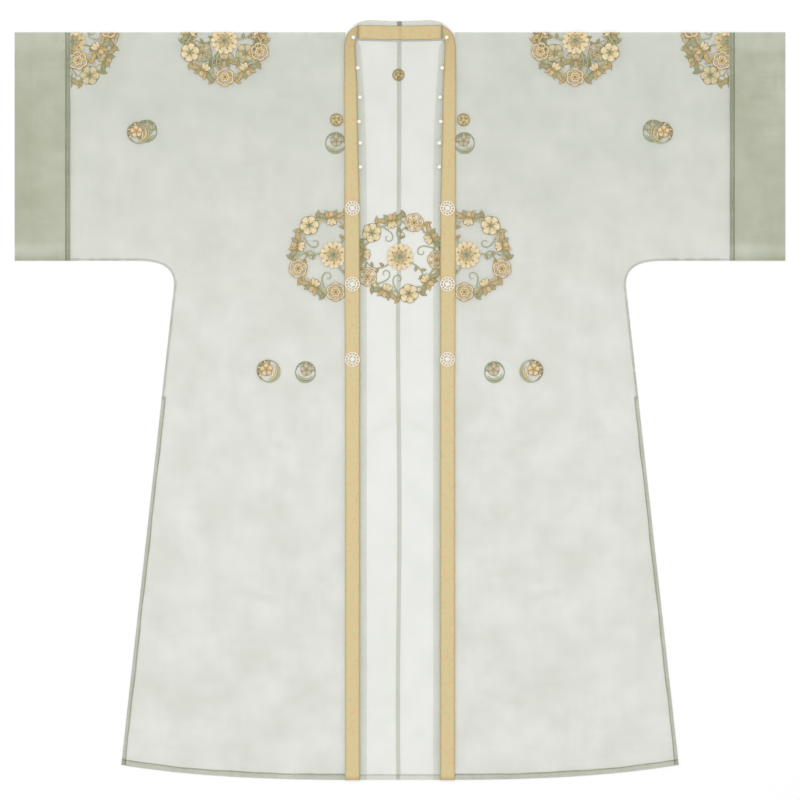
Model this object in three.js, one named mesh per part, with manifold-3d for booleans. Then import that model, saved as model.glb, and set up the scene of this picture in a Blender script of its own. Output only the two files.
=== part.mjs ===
// Hanfu robe: a sheer parallel-front robe with a ribbon collar, laid flat with its front up.
//
// Millimetres, +Z up. The back panels rest on Z = 0, +Y points to the neck and +X to the wearer's
// left. The origin lies under the middle of the robe. Heights along the garment are given as a
// drop below the shoulder fold, as a cutter measures them.

import * as THREE from 'three';
import { mergeVertices } from 'three/addons/utils/BufferGeometryUtils.js';
import Module from 'manifold-3d';

const wasm = await Module();
wasm.setup();

// ---- Driving dimensions -------------------------------------------------------------------

const LENGTH = 1177.6; // top of the collar to the lowest point of the hem
const HALF_SPAN = 597.3; // centre back to the cuff's open end
const COLLAR_RISE = 18.8; // how far the collar stands above the shoulder fold
const SHOULDER_Y = LENGTH / 2 - COLLAR_RISE;

const SLEEVE_END = 510.4; // where the sleeve meets the cuff
const SLEEVE_DROP = 354; // depth of the sleeve
const UNDERARM = { x: 350, drop: 392 }; // lower end of the curve from the sleeve into the side
const UNDERARM_CURVE = { start: 415, pullAlong: 378, pullDown: 358 };
const SLIT_DROP = 570; // top of the side slit
const HEM_CORNER = { x: 432.1, drop: 1135.5 };
const HEM_DROP = LENGTH - COLLAR_RISE;
const HEM_CURVE_POWER = 3; // the hem is straight in the middle and lifts at its corners

const SEAM_GAP = 0.3; // between pieces that are sewn to each other
const CLOTH = 1.0; // wall of one layer of organza
const CUFF_CLOTH = 1.3; // wall of the doubled cuff
const CUFF_SEAM_WIDTH = 7.8; // seam allowance that shows beside the sleeve
const OVERSHOOT = 4; // how far a cutting solid runs past an open edge

// Heights above the resting surface, [underside, upper side].
const LEVEL = {
  back: [0, CLOTH],
  backStitch: [1.3, 2.0],
  front: [2.4, 3.4],
  frontStitch: [3.7, 4.4],
  band: [2.4, 3.6],
  ribbon: [3.9, 4.7],
  cuff: [0, 3.7],
  cuffSeam: 4.2,
};

// Collar, from the neck corner down: distances from centre back to its three edges.
const COLLAR = [
  { drop: 21, seam: 86.3, ribbon: 69.9, free: 61.2 },
  { drop: 89, seam: 86.2, ribbon: 66.7, free: 56.6 },
  { drop: 167, seam: 85.1, ribbon: 65.6, free: 52.7 },
  { drop: 275, seam: 85.2, ribbon: 62.8, free: 51.9 },
  { drop: 570, seam: 84.2, ribbon: 62.5, free: 51.9 },
  { drop: 1149, seam: 84.2, ribbon: 62.5, free: 51.9 },
];
const RIBBON_OVERLAP = 0.8; // the ribbon hides the band's seam by this much
const NECK = {
  corner: 66, // where the collar turns from the front to the back of the neck
  seam: 84.6, // inner end of the shoulder fold
  bandDrop: 13, // lower edge of the band at the back of the neck
  ribbonDrop: 10.2, // lower edge of the ribbon there
  ribbonRise: 11.5, // upper edge of the ribbon, above the shoulder fold
  flat: 44, // half of the collar's straight top edge
  cornerFall: 4.2, // how far the top edge has come down where the collar turns
  sag: 1.4, // how much the middle hangs below the corners
  turn: 16, // length over which the collar comes down from the front to the back layer
};
// Curves of the two outer edges at the neck corner: a start, two pulls, and an end on the neck.
const BAND_CORNER = { startDrop: 2, pulls: [[80.5, -3], [72.3, -12.3]], endDrop: -14.6 };
const RIBBON_CORNER = { startDrop: 12, pulls: [[84.3, 1], [74, -6]], endDrop: -10.5, foot: 1 };

const PEARL_RADIUS = 3.2;
const PEARL_LIFT = 0.4; // the thread under a pearl
const PEARLS = [
  { x: 72.1, drop: 8.7 },
  { x: 65.3, drop: 55.8 },
  { x: 62.0, drop: 101.2 },
  { x: 63.2, drop: 138.9 },
  { x: 61.2, drop: 172.0 },
  { x: 60.9, drop: 209.1 },
];

const CLASP = { x: 73.6, radius: 11.6, thickness: 1.6, holes: 12, holeRadius: 1.9, holeRing: 8.6 };
const CLASP_HUB = { radius: 3.6, foot: 0.4, top: 3.4 };
const CLASP_WINDOWS = { count: 4, inner: 4.6, outer: 6.0, gap: 0.15 };
const CLASP_DROPS = [272.8, 390.3, 506.9];

// Embroidered roundels. Those on both sides have x measured from the centre back.
const ROUNDELS = [
  { name: 'shoulder', x: 272.0, drop: 13.3, radius: 71.3, large: true, folds: true },
  { name: 'sleeve', x: 507.6, drop: -14.6, radius: 73.0, large: true, folds: true },
  { name: 'chest', x: 103.1, drop: 345.0, radius: 72.8, large: true },
  { name: 'sleeve_small', x: 405.3, drop: 155.9, radius: 18.6 },
  { name: 'neck_small', x: 98.4, drop: 135.8, radius: 10.1 },
  { name: 'skirt_small', x: 203.8, drop: 524.8, radius: 19.4 },
];
const BACK_ROUNDELS = [
  { name: 'sleeve_small', x: 392.9, drop: 152.8, radius: 18.6 },
  { name: 'neck_small', x: 100.0, drop: 171.4, radius: 17.8 },
  { name: 'skirt_small', x: 146.5, drop: 526.4, radius: 17.8 },
];
const CENTRE_ROUNDELS = [
  { name: 'back_centre', x: 0, drop: 348.0, radius: 72.9, large: true },
  { name: 'back_nape', x: -2.4, drop: 66.0, radius: 9.8 },
];
const FOLD_MARGIN = 0.5; // stitching stops this far from the shoulder fold
const WREATH = { scallops: 12, perScallop: 4, depth: 0.06, stems: 6, flower: 0.32, ring: 0.62, gap: 0.12 };
const SPRIG = { scallops: 8, perScallop: 3, depth: 0.08, stems: 0 };

const SIDES = [
  { name: 'left', sign: 1 },
  { name: 'right', sign: -1 },
];

// ---- Materials ----------------------------------------------------------------------------

const material = (color, roughness, metalness = 0) =>
  new THREE.MeshStandardMaterial({ color, roughness, metalness });
const ORGANZA = material(0xdcdfd2, 0.6);
const DOUBLED_ORGANZA = material(0xb4b9a3, 0.6);
const BAND_ORGANZA = material(0xc8cfbb, 0.6);
const GOLD_RIBBON = material(0xdbc797, 0.55);
const GOLD_THREAD = material(0xd2b684, 0.6);
const SAGE_THREAD = material(0x9ea786, 0.6);
const PEARL = material(0xf5f4ee, 0.25);
const WHITE_METAL = material(0xf1f1ec, 0.35, 0.2);

// ---- Helpers ------------------------------------------------------------------------------

const group = new THREE.Group();

/** Adds one named piece of the robe. */
function addPiece(name, geometry, finish) {
  const mesh = new THREE.Mesh(geometry, finish);
  mesh.name = name;
  group.add(mesh);
}

/** A point of the plan, from a distance to the wearer's left and a drop below the shoulder. */
const plan = (x, drop) => new THREE.Vector2(x, SHOULDER_Y - drop);

/** A flat plate with the given outline and holes, between two heights. */
function plate(points, [low, high], holes = []) {
  const shape = new THREE.Shape(points);
  shape.holes = holes.map((hole) => new THREE.Path(hole));
  const geometry = new THREE.ExtrudeGeometry(shape, { depth: high - low, bevelEnabled: false });
  return geometry.translate(0, 0, low);
}

/** A box that spans two x values, two drops and two heights. */
function box([x0, x1], [drop0, drop1], [low, high]) {
  const geometry = new THREE.BoxGeometry(Math.abs(x1 - x0), Math.abs(drop1 - drop0), high - low);
  return geometry.translate((x0 + x1) / 2, SHOULDER_Y - (drop0 + drop1) / 2, (low + high) / 2);
}

/** Turns a closed geometry into a solid that can be cut. */
function toSolid(geometry) {
  const bare = geometry.clone();
  bare.deleteAttribute('normal');
  bare.deleteAttribute('uv');
  const merged = mergeVertices(bare, 1e-4);
  const mesh = new wasm.Mesh({
    numProp: 3,
    vertProperties: new Float32Array(merged.attributes.position.array),
    triVerts: new Uint32Array(merged.index.array),
  });
  return new wasm.Manifold(mesh);
}

/** Turns a solid back into a geometry with flat faces. */
function toGeometry(solid) {
  const mesh = solid.getMesh();
  const geometry = new THREE.BufferGeometry();
  geometry.setAttribute('position', new THREE.BufferAttribute(mesh.vertProperties, 3));
  geometry.setIndex(new THREE.BufferAttribute(mesh.triVerts, 1));
  geometry.computeVertexNormals();
  return geometry;
}

/** The largest of the separate bodies that a cut leaves. */
function largestBody(solid) {
  const bodies = solid.decompose();
  return bodies.reduce((best, body) => (body.volume() > best.volume() ? body : best));
}

/** A column of the collar table at any drop, between its rows in a straight line. */
function collarEdge(column, drop) {
  const after = COLLAR.findIndex((row) => row.drop >= drop);
  if (after <= 0) return COLLAR[0][column];
  const [upper, lower] = [COLLAR[after - 1], COLLAR[after]];
  const share = (drop - upper.drop) / (lower.drop - upper.drop);
  return THREE.MathUtils.lerp(upper[column], lower[column], share);
}

/** How far the back of the neck hangs below its corners at a distance from the middle. */
const neckSag = (x) => NECK.sag * Math.max(0, 1 - (x / NECK.corner) ** 2);

/** Drop of the hem at a distance from the centre back. */
function hemDrop(x) {
  const lift = HEM_DROP - HEM_CORNER.drop;
  return HEM_DROP - lift * (x / HEM_CORNER.x) ** HEM_CURVE_POWER;
}

// ---- Body halves --------------------------------------------------------------------------

/**
 * Outline of half of the robe, for the wearer's left. `inset` moves its sewn and folded edges
 * inwards, and `past` moves its open edges outwards.
 */
function halfOutline(inset, past) {
  const points = [];
  const add = (x, drop) => points.push(plan(x, drop));
  add(NECK.seam - past, inset);
  add(SLEEVE_END + past, inset);
  add(SLEEVE_END + past, SLEEVE_DROP - inset);
  const underarm = new THREE.CubicBezierCurve(
    new THREE.Vector2(UNDERARM_CURVE.start, SLEEVE_DROP - inset),
    new THREE.Vector2(UNDERARM_CURVE.pullAlong, SLEEVE_DROP - inset),
    new THREE.Vector2(UNDERARM.x - inset, UNDERARM_CURVE.pullDown),
    new THREE.Vector2(UNDERARM.x - inset, UNDERARM.drop),
  );
  underarm.getPoints(8).forEach((point) => add(point.x, point.y));
  const side = (drop) =>
    THREE.MathUtils.mapLinear(drop, UNDERARM.drop, HEM_CORNER.drop, UNDERARM.x, HEM_CORNER.x);
  add(side(SLIT_DROP) - inset, SLIT_DROP);
  if (past > 0) add(side(SLIT_DROP) + past, SLIT_DROP);
  const hemSteps = [1, 0.93, 0.85, 0.75, 0.6, 0.4, 0.2, 0];
  hemSteps.forEach((share) => {
    const x = Math.max(share * HEM_CORNER.x + (share === 1 ? past : 0), SEAM_GAP / 2);
    add(x, hemDrop(share * HEM_CORNER.x) + past);
  });
  if (past > 0) add(-past, HEM_DROP + past);
  const neckSteps = [0, 0.25, 0.5, 0.75, 1];
  const neckStart = past > 0 ? -past : SEAM_GAP / 2;
  neckSteps.forEach((share) => {
    const x = THREE.MathUtils.lerp(neckStart, NECK.seam, share);
    add(x, NECK.bandDrop + SEAM_GAP + neckSag(x) - past);
  });
  return points;
}

/** What is cut from the front layer, so that only the back panel reaches the centre back. */
function frontOpening() {
  const points = [plan(-OVERSHOOT, -OVERSHOOT)];
  points.push(plan(NECK.seam, -OVERSHOOT));
  points.push(plan(NECK.seam, NECK.turn));
  COLLAR.forEach((row) => points.push(plan(row.seam + SEAM_GAP, row.drop)));
  points.push(plan(COLLAR.at(-1).seam + SEAM_GAP, HEM_DROP + OVERSHOOT));
  points.push(plan(-OVERSHOOT, HEM_DROP + OVERSHOOT));
  return points;
}

/** Front, sleeve and back of one side, folded at the shoulder and sewn down to the slit. */
function bodyHalf(sign) {
  const turned = (points) => points.map((point) => new THREE.Vector2(sign * point.x, point.y));
  const whole = toSolid(plate(turned(halfOutline(0, 0)), [LEVEL.back[0], LEVEL.front[1]]));
  const cavity = toSolid(
    plate(turned(halfOutline(CLOTH, OVERSHOOT)), [LEVEL.back[1], LEVEL.front[0]]),
  );
  const opening = toSolid(
    plate(turned(frontOpening()), [LEVEL.back[1], LEVEL.front[1] + OVERSHOOT]),
  );
  return toGeometry(whole.subtract(cavity).subtract(opening));
}

// ---- Cuffs --------------------------------------------------------------------------------

/** A flattened tube of doubled organza, with its seam allowance raised beside the sleeve. */
function cuff(sign) {
  const inner = SLEEVE_END + SEAM_GAP;
  const seam = inner + CUFF_SEAM_WIDTH;
  const tube = toSolid(box([sign * inner, sign * HALF_SPAN], [0, SLEEVE_DROP], LEVEL.cuff));
  const allowance = toSolid(
    box([sign * inner, sign * seam], [0, SLEEVE_DROP], [CUFF_CLOTH * 2, LEVEL.cuffSeam]),
  );
  const hollow = toSolid(
    box(
      [sign * (inner - OVERSHOOT), sign * (HALF_SPAN + OVERSHOOT)],
      [CUFF_CLOTH, SLEEVE_DROP - CUFF_CLOTH],
      [CUFF_CLOTH, LEVEL.cuff[1] - CUFF_CLOTH],
    ),
  );
  return toGeometry(tube.add(allowance).subtract(hollow));
}

// ---- Collar: band and ribbon --------------------------------------------------------------

/**
 * A strip whose plan is given, running flat down the front and coming down over the neck corner
 * to the level of the back of the neck.
 */
function turnedStrip(points, [low, high], sign) {
  const fall = LEVEL.band[0];
  const neckY = SHOULDER_Y;
  const profile = [
    [-LENGTH, low],
    [neckY - NECK.turn, low],
    [neckY, low - fall],
    [LENGTH, low - fall],
    [LENGTH, high - fall],
    [neckY, high - fall],
    [neckY - NECK.turn, high],
    [-LENGTH, high],
  ];
  const shape = new THREE.Shape(profile.map(([y, z]) => new THREE.Vector2(y, z)));
  const across = new THREE.ExtrudeGeometry(shape, { depth: 2 * HALF_SPAN, bevelEnabled: false });
  // The profile is drawn in Y and Z and extruded along X.
  const turn = new THREE.Matrix4().makeBasis(
    new THREE.Vector3(0, 1, 0),
    new THREE.Vector3(0, 0, 1),
    new THREE.Vector3(1, 0, 0),
  );
  across.applyMatrix4(turn).translate(-HALF_SPAN, 0, 0);
  const mirrored = points.map((point) => new THREE.Vector2(sign * point.x, point.y));
  const footprint = toSolid(plate(mirrored, [-OVERSHOOT, high + OVERSHOOT]));
  return toGeometry(toSolid(across).intersect(footprint));
}

/** A neck corner's outer edge, from the front seam round to the back of the neck. */
function cornerCurve({ startDrop, pulls, endDrop }) {
  const [first, second] = pulls.map(([x, drop]) => plan(x, drop));
  const start = plan(NECK.seam - SEAM_GAP, startDrop);
  const end = plan(NECK.corner + SEAM_GAP, endDrop);
  return new THREE.CubicBezierCurve(start, first, second, end).getPoints(8);
}

/** Plan of the organza band down one front, with its rounded corner at the neck. */
function bandPlan() {
  return [
    ...[...COLLAR].reverse().map((row) => plan(row.seam, row.drop)),
    plan(NECK.seam - SEAM_GAP, NECK.turn),
    ...cornerCurve(BAND_CORNER),
    plan(NECK.corner + SEAM_GAP, NECK.bandDrop + SEAM_GAP),
    ...COLLAR.map((row) => plan(row.free, row.drop)),
  ];
}

/** Plan of the ribbon down one front, narrowing as it turns over the neck corner. */
function ribbonPlan() {
  const [top, ...rows] = COLLAR;
  return [
    ...rows.reverse().map((row) => plan(row.seam + RIBBON_OVERLAP, row.drop)),
    plan(top.seam, top.drop),
    plan(NECK.seam - SEAM_GAP, NECK.turn),
    ...cornerCurve(RIBBON_CORNER),
    plan(NECK.corner + SEAM_GAP, RIBBON_CORNER.foot),
    ...COLLAR.map((row) => plan(row.ribbon, row.drop)),
  ];
}

/** A strip across the back of the neck, between two edges given as functions of x. */
function neckStrip(upper, lower, levels) {
  const steps = 12;
  const reach = NECK.corner;
  const across = Array.from({ length: steps + 1 }, (_, i) => -reach + (2 * reach * i) / steps);
  const top = across.map((x) => plan(x, upper(x)));
  const bottom = across.map((x) => plan(x, lower(x))).reverse();
  return plate([...top, ...bottom], levels);
}

/** Upper edge of the collar at the back of the neck: dipped in the middle, rounded at its ends. */
function collarTop(x) {
  const dip = NECK.sag * Math.max(0, 1 - (x / NECK.flat) ** 2);
  const beyond = Math.max(0, Math.abs(x) - NECK.flat) / (NECK.corner - NECK.flat);
  return -COLLAR_RISE + dip + NECK.cornerFall * beyond ** 2;
}

// ---- Trims --------------------------------------------------------------------------------

/** A round pearl that sits on the band, or on the ribbon where the ribbon turns the corner. */
function pearl(sign, { x, drop }) {
  const onRibbon = drop < NECK.turn;
  const slope = Math.max(0, (NECK.turn - drop) / NECK.turn) * LEVEL.band[0];
  const seat = (onRibbon ? LEVEL.ribbon[1] : LEVEL.band[1]) - slope;
  const geometry = new THREE.SphereGeometry(PEARL_RADIUS, 8, 8).rotateX(Math.PI / 2);
  return geometry.translate(sign * x, SHOULDER_Y - drop, seat + PEARL_LIFT + PEARL_RADIUS);
}

/** Points of a circle, for an outline or a hole. */
function circle(cx, cy, radius, sides) {
  return Array.from({ length: sides }, (_, i) => {
    const angle = (2 * Math.PI * i) / sides;
    return new THREE.Vector2(cx + radius * Math.cos(angle), cy + radius * Math.sin(angle));
  });
}

/** A window between two radii and two angles. */
function ringWindow(cx, cy, inner, outer, start, end, steps) {
  const arc = (radius, from, to) =>
    Array.from({ length: steps + 1 }, (_, i) => {
      const angle = THREE.MathUtils.lerp(from, to, i / steps);
      return new THREE.Vector2(cx + radius * Math.cos(angle), cy + radius * Math.sin(angle));
    });
  return [...arc(outer, start, end), ...arc(inner, end, start)];
}

/** An openwork disc with a ring of round holes, four windows and a raised middle. */
function clasp(sign, drop) {
  const [cx, cy] = [sign * CLASP.x, SHOULDER_Y - drop];
  const holes = Array.from({ length: CLASP.holes }, (_, i) => {
    const angle = (2 * Math.PI * i) / CLASP.holes;
    const centre = [cx + CLASP.holeRing * Math.cos(angle), cy + CLASP.holeRing * Math.sin(angle)];
    return circle(...centre, CLASP.holeRadius, 6);
  });
  const { count, inner, outer, gap } = CLASP_WINDOWS;
  const turn = (2 * Math.PI) / count;
  const windows = Array.from({ length: count }, (_, i) =>
    ringWindow(cx, cy, inner, outer, (i + gap) * turn, (i + 1 - gap) * turn, 3),
  );
  const low = LEVEL.ribbon[1] + SEAM_GAP;
  const disc = plate(
    circle(cx, cy, CLASP.radius, 24),
    [low, low + CLASP.thickness],
    [...holes, ...windows],
  );
  const hub = plate(circle(cx, cy, CLASP_HUB.radius, 12), [low + CLASP_HUB.foot, low + CLASP_HUB.top]);
  return toGeometry(toSolid(disc).add(toSolid(hub)));
}

// ---- Roundels -----------------------------------------------------------------------------

/** A round embroidered wreath: a scalloped ring, tied to a middle flower by stems if large. */
function roundel(sign, { x, drop, radius, large }, levels) {
  const { scallops, perScallop, depth, stems, flower, ring, gap } = large ? WREATH : SPRIG;
  const turn = (2 * Math.PI) / stems;
  const count = scallops * perScallop;
  const [cx, cy] = [sign * x, SHOULDER_Y - drop];
  const outline = Array.from({ length: count }, (_, i) => {
    const angle = (2 * Math.PI * i) / count;
    const lobe = Math.abs(Math.cos((scallops * angle) / 2));
    const reach = radius * (1 - depth * (1 - lobe));
    return new THREE.Vector2(cx + reach * Math.cos(angle), cy + reach * Math.sin(angle));
  });
  const windows = Array.from({ length: stems }, (_, i) => {
    const [start, end] = [(i + gap) * turn, (i + 1 - gap) * turn];
    return ringWindow(cx, cy, radius * flower, radius * ring, start, end, 3);
  });
  return plate(outline, levels, windows);
}

/** The part of a roundel on one layer that lies on the cloth, clear of fold, cuff and collar. */
function clippedRoundel(sign, row, levels, foldClearance) {
  const inner = collarEdge('seam', row.drop) + RIBBON_OVERLAP + SEAM_GAP;
  const reach = [sign * inner, sign * (SLEEVE_END - SEAM_GAP)];
  const window = box(reach, [foldClearance, HEM_DROP], [levels[0] - 1, levels[1] + 1]);
  return toGeometry(largestBody(toSolid(roundel(sign, row, levels)).intersect(toSolid(window))));
}

// ---- The robe -----------------------------------------------------------------------------

group.name = 'hanfu_robe';

for (const { name, sign } of SIDES) {
  addPiece(`body_${name}`, bodyHalf(sign), ORGANZA);
  addPiece(`cuff_${name}`, cuff(sign), DOUBLED_ORGANZA);
  addPiece(`band_${name}`, turnedStrip(bandPlan(), LEVEL.band, sign), BAND_ORGANZA);
  addPiece(`ribbon_${name}`, turnedStrip(ribbonPlan(), LEVEL.ribbon, sign), GOLD_RIBBON);
  PEARLS.forEach((place, i) => addPiece(`pearl_${name}_${i + 1}`, pearl(sign, place), PEARL));
  CLASP_DROPS.forEach((drop, i) => {
    addPiece(`clasp_${name}_${i + 1}`, clasp(sign, drop), WHITE_METAL);
  });
  for (const row of ROUNDELS) {
    const front = clippedRoundel(sign, row, LEVEL.frontStitch, FOLD_MARGIN);
    addPiece(`roundel_${row.name}_${name}`, front, GOLD_THREAD);
    if (row.folds) {
      const past = { ...row, drop: -row.drop };
      const back = clippedRoundel(sign, past, LEVEL.backStitch, CLOTH + FOLD_MARGIN);
      addPiece(`roundel_back_${row.name}_${name}`, back, GOLD_THREAD);
    }
  }
  for (const row of BACK_ROUNDELS) {
    addPiece(`roundel_back_${row.name}_${name}`, roundel(sign, row, LEVEL.backStitch), SAGE_THREAD);
  }
}

const neckBandLevels = LEVEL.band.map((height) => height - LEVEL.band[0]);
const neckRibbonLevels = LEVEL.ribbon.map((height) => height - LEVEL.band[0]);
addPiece(
  'band_neck',
  neckStrip(collarTop, (x) => NECK.bandDrop + neckSag(x), neckBandLevels),
  BAND_ORGANZA,
);
addPiece(
  'ribbon_neck',
  neckStrip(
    (x) => -NECK.ribbonRise + neckSag(x),
    (x) => NECK.ribbonDrop + neckSag(x),
    neckRibbonLevels,
  ),
  GOLD_RIBBON,
);
for (const row of CENTRE_ROUNDELS) {
  addPiece(`roundel_${row.name}`, roundel(1, row, LEVEL.backStitch), GOLD_THREAD);
}

export default group;
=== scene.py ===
"""The looks of a sheer hanfu robe laid flat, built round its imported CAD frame.

Sizes are in millimetres and become metres where a mesh is made. Heights along the garment are a
drop below the shoulder fold, and x runs to the wearer's left from the centre back.
"""

from __future__ import annotations

import logging
import math
import random
from dataclasses import dataclass, field
from enum import Enum
from typing import Sequence

import bmesh
import bpy
import numpy as np
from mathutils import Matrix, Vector


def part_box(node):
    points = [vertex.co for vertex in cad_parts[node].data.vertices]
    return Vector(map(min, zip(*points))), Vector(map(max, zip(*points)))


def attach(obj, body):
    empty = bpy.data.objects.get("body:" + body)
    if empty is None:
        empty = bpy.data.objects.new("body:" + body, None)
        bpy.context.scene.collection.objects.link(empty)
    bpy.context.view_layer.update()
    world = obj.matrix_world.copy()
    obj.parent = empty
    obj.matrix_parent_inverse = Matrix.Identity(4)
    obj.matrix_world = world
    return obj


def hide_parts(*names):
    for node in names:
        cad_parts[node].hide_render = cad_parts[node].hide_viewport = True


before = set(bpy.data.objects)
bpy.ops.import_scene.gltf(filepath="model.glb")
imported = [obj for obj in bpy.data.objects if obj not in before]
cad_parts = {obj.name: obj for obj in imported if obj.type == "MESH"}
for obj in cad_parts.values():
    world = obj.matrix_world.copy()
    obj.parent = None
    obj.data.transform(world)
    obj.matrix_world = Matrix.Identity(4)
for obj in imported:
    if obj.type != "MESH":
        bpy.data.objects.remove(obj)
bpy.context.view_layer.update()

MM = 0.001
SIDES = {"left": 1, "right": -1}
CLASPS_A_SIDE = 3
LOG = logging.getLogger("robe")


class Layer(Enum):
    """The two layers of the laid robe."""

    BACK = "back"
    FRONT = "front"


class Edge(Enum):
    """The long edges of the collar, as columns of its table."""

    SEAM = 1
    RIBBON = 2
    FREE = 3


class Thread(Enum):
    """The embroidery threads, by the place of their finish on a roundel."""

    CREAM = 0
    GOLD = 1
    PEACH = 2
    SAGE = 3
    OLIVE = 4


# ---- Colour and nodes ---------------------------------------------------------------------


def linear(code: str) -> tuple[float, float, float, float]:
    """Turns an sRGB hex colour to linear.

    Args:
        code: six hex digits after a hash sign.

    Returns:
        Red, green, blue and an alpha of one.
    """
    parts = [int(code[i : i + 2], 16) / 255 for i in (1, 3, 5)]
    return (*(p / 12.92 if p <= 0.04045 else ((p + 0.055) / 1.055) ** 2.4 for p in parts), 1.0)


def add_node(
    tree: bpy.types.NodeTree,
    kind: str,
    settings: dict | None = None,
    links: dict | None = None,
) -> bpy.types.Node:
    """Adds a node with its settings and links.

    Args:
        tree: the material's node tree.
        kind: the node's type name without "ShaderNode".
        settings: values by property name, or by input where the key is an index or input name.
        links: output sockets by the input that they feed.

    Returns:
        The new node.
    """
    node = tree.nodes.new(f"ShaderNode{kind}")
    for key, value in (settings or {}).items():
        if isinstance(key, str) and hasattr(node, key):
            setattr(node, key, value)
        else:
            node.inputs[key].default_value = value
    for key, socket in (links or {}).items():
        tree.links.new(socket, node.inputs[key])
    return node


# ---- Finishes -----------------------------------------------------------------------------


@dataclass(frozen=True)
class Finish:
    """A named surface finish."""

    name: str

    def dress(self, tree: bpy.types.NodeTree, shader: bpy.types.Node) -> None:
        """Adds the finish's own nodes to the tree and sets the shader."""
        raise NotImplementedError

    def material(self) -> bpy.types.Material:
        """Makes the material, or finds it if it is made already.

        Returns:
            The material with a Principled shader that the finish has dressed.
        """
        found = bpy.data.materials.get(self.name)
        if found:
            return found
        made = bpy.data.materials.new(self.name)
        made.use_nodes = True
        self.dress(made.node_tree, made.node_tree.nodes["Principled BSDF"])
        return made


@dataclass(frozen=True)
class SilkOrganza(Finish):
    """Silk organza, plain woven from hard twisted yarn and left stiff.

    Light goes through between the threads, so the cover says how much a face stops. Uneven yarn
    gives faint bars both ways, and handling gives soft clouds. Cloth on a fold looks denser; the
    fold attribute also carries painted shade, along the creases and beside the collar ribbon.
    """

    colour: str
    cover: float
    cloud_size: float = 70.0
    cloud: float = 0.36
    # Yarns lie 0.15 mm apart, which is too fine to show, so the bars are drawn 4 mm apart.
    bar_pitch: float = 4.0
    bar_length: float = 90.0
    bars: float = 0.07
    fold_cover: float = 1.0

    def dress(self, tree: bpy.types.NodeTree, shader: bpy.types.Node) -> None:
        """Adds clouds, bars both ways and denser folds to the cover."""
        place = add_node(tree, "TexCoord").outputs["Object"]
        cloud = add_node(
            tree,
            "TexNoise",
            {"Scale": 1000 / self.cloud_size, "Detail": 2.0, "Roughness": 0.6},
            {"Vector": place},
        )
        sums = add_node(
            tree, "Math", {"operation": "MULTIPLY", 1: 2 * self.cloud}, {0: cloud.outputs["Fac"]}
        )
        pitch, length = 1000 / self.bar_pitch, 1000 / self.bar_length
        for scale in ((pitch, length, 1.0), (length, pitch, 1.0)):
            drawn = add_node(tree, "Mapping", {"Scale": scale}, {"Vector": place})
            bars = add_node(
                tree,
                "TexNoise",
                {"noise_dimensions": "2D", "Scale": 1.0, "Detail": 0.0},
                {"Vector": drawn.outputs["Vector"]},
            )
            sums = add_node(
                tree,
                "Math",
                {"operation": "MULTIPLY_ADD", 1: self.bars},
                {0: bars.outputs["Fac"], 2: sums.outputs[0]},
            )
        # The fold attribute adds cover on real folds and seams, and painted shade on creases and
        # beside the ribbon.
        fold = add_node(tree, "Attribute", {"attribute_name": "fold"})
        sums = add_node(
            tree,
            "Math",
            {"operation": "MULTIPLY_ADD", 1: self.fold_cover},
            {0: fold.outputs["Fac"], 2: sums.outputs[0]},
        )
        rest = 1 - self.cloud - self.bars
        level = add_node(tree, "Math", {"operation": "ADD", 1: rest}, {0: sums.outputs[0]})
        cover = add_node(
            tree,
            "Math",
            {"operation": "MULTIPLY", "use_clamp": True, 1: self.cover},
            {0: level.outputs[0]},
        )
        shader.inputs["Base Color"].default_value = linear(self.colour)
        shader.inputs["Roughness"].default_value = 0.55
        shader.inputs["Specular IOR Level"].default_value = 0.25
        tree.links.new(cover.outputs[0], shader.inputs["Alpha"])


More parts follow.
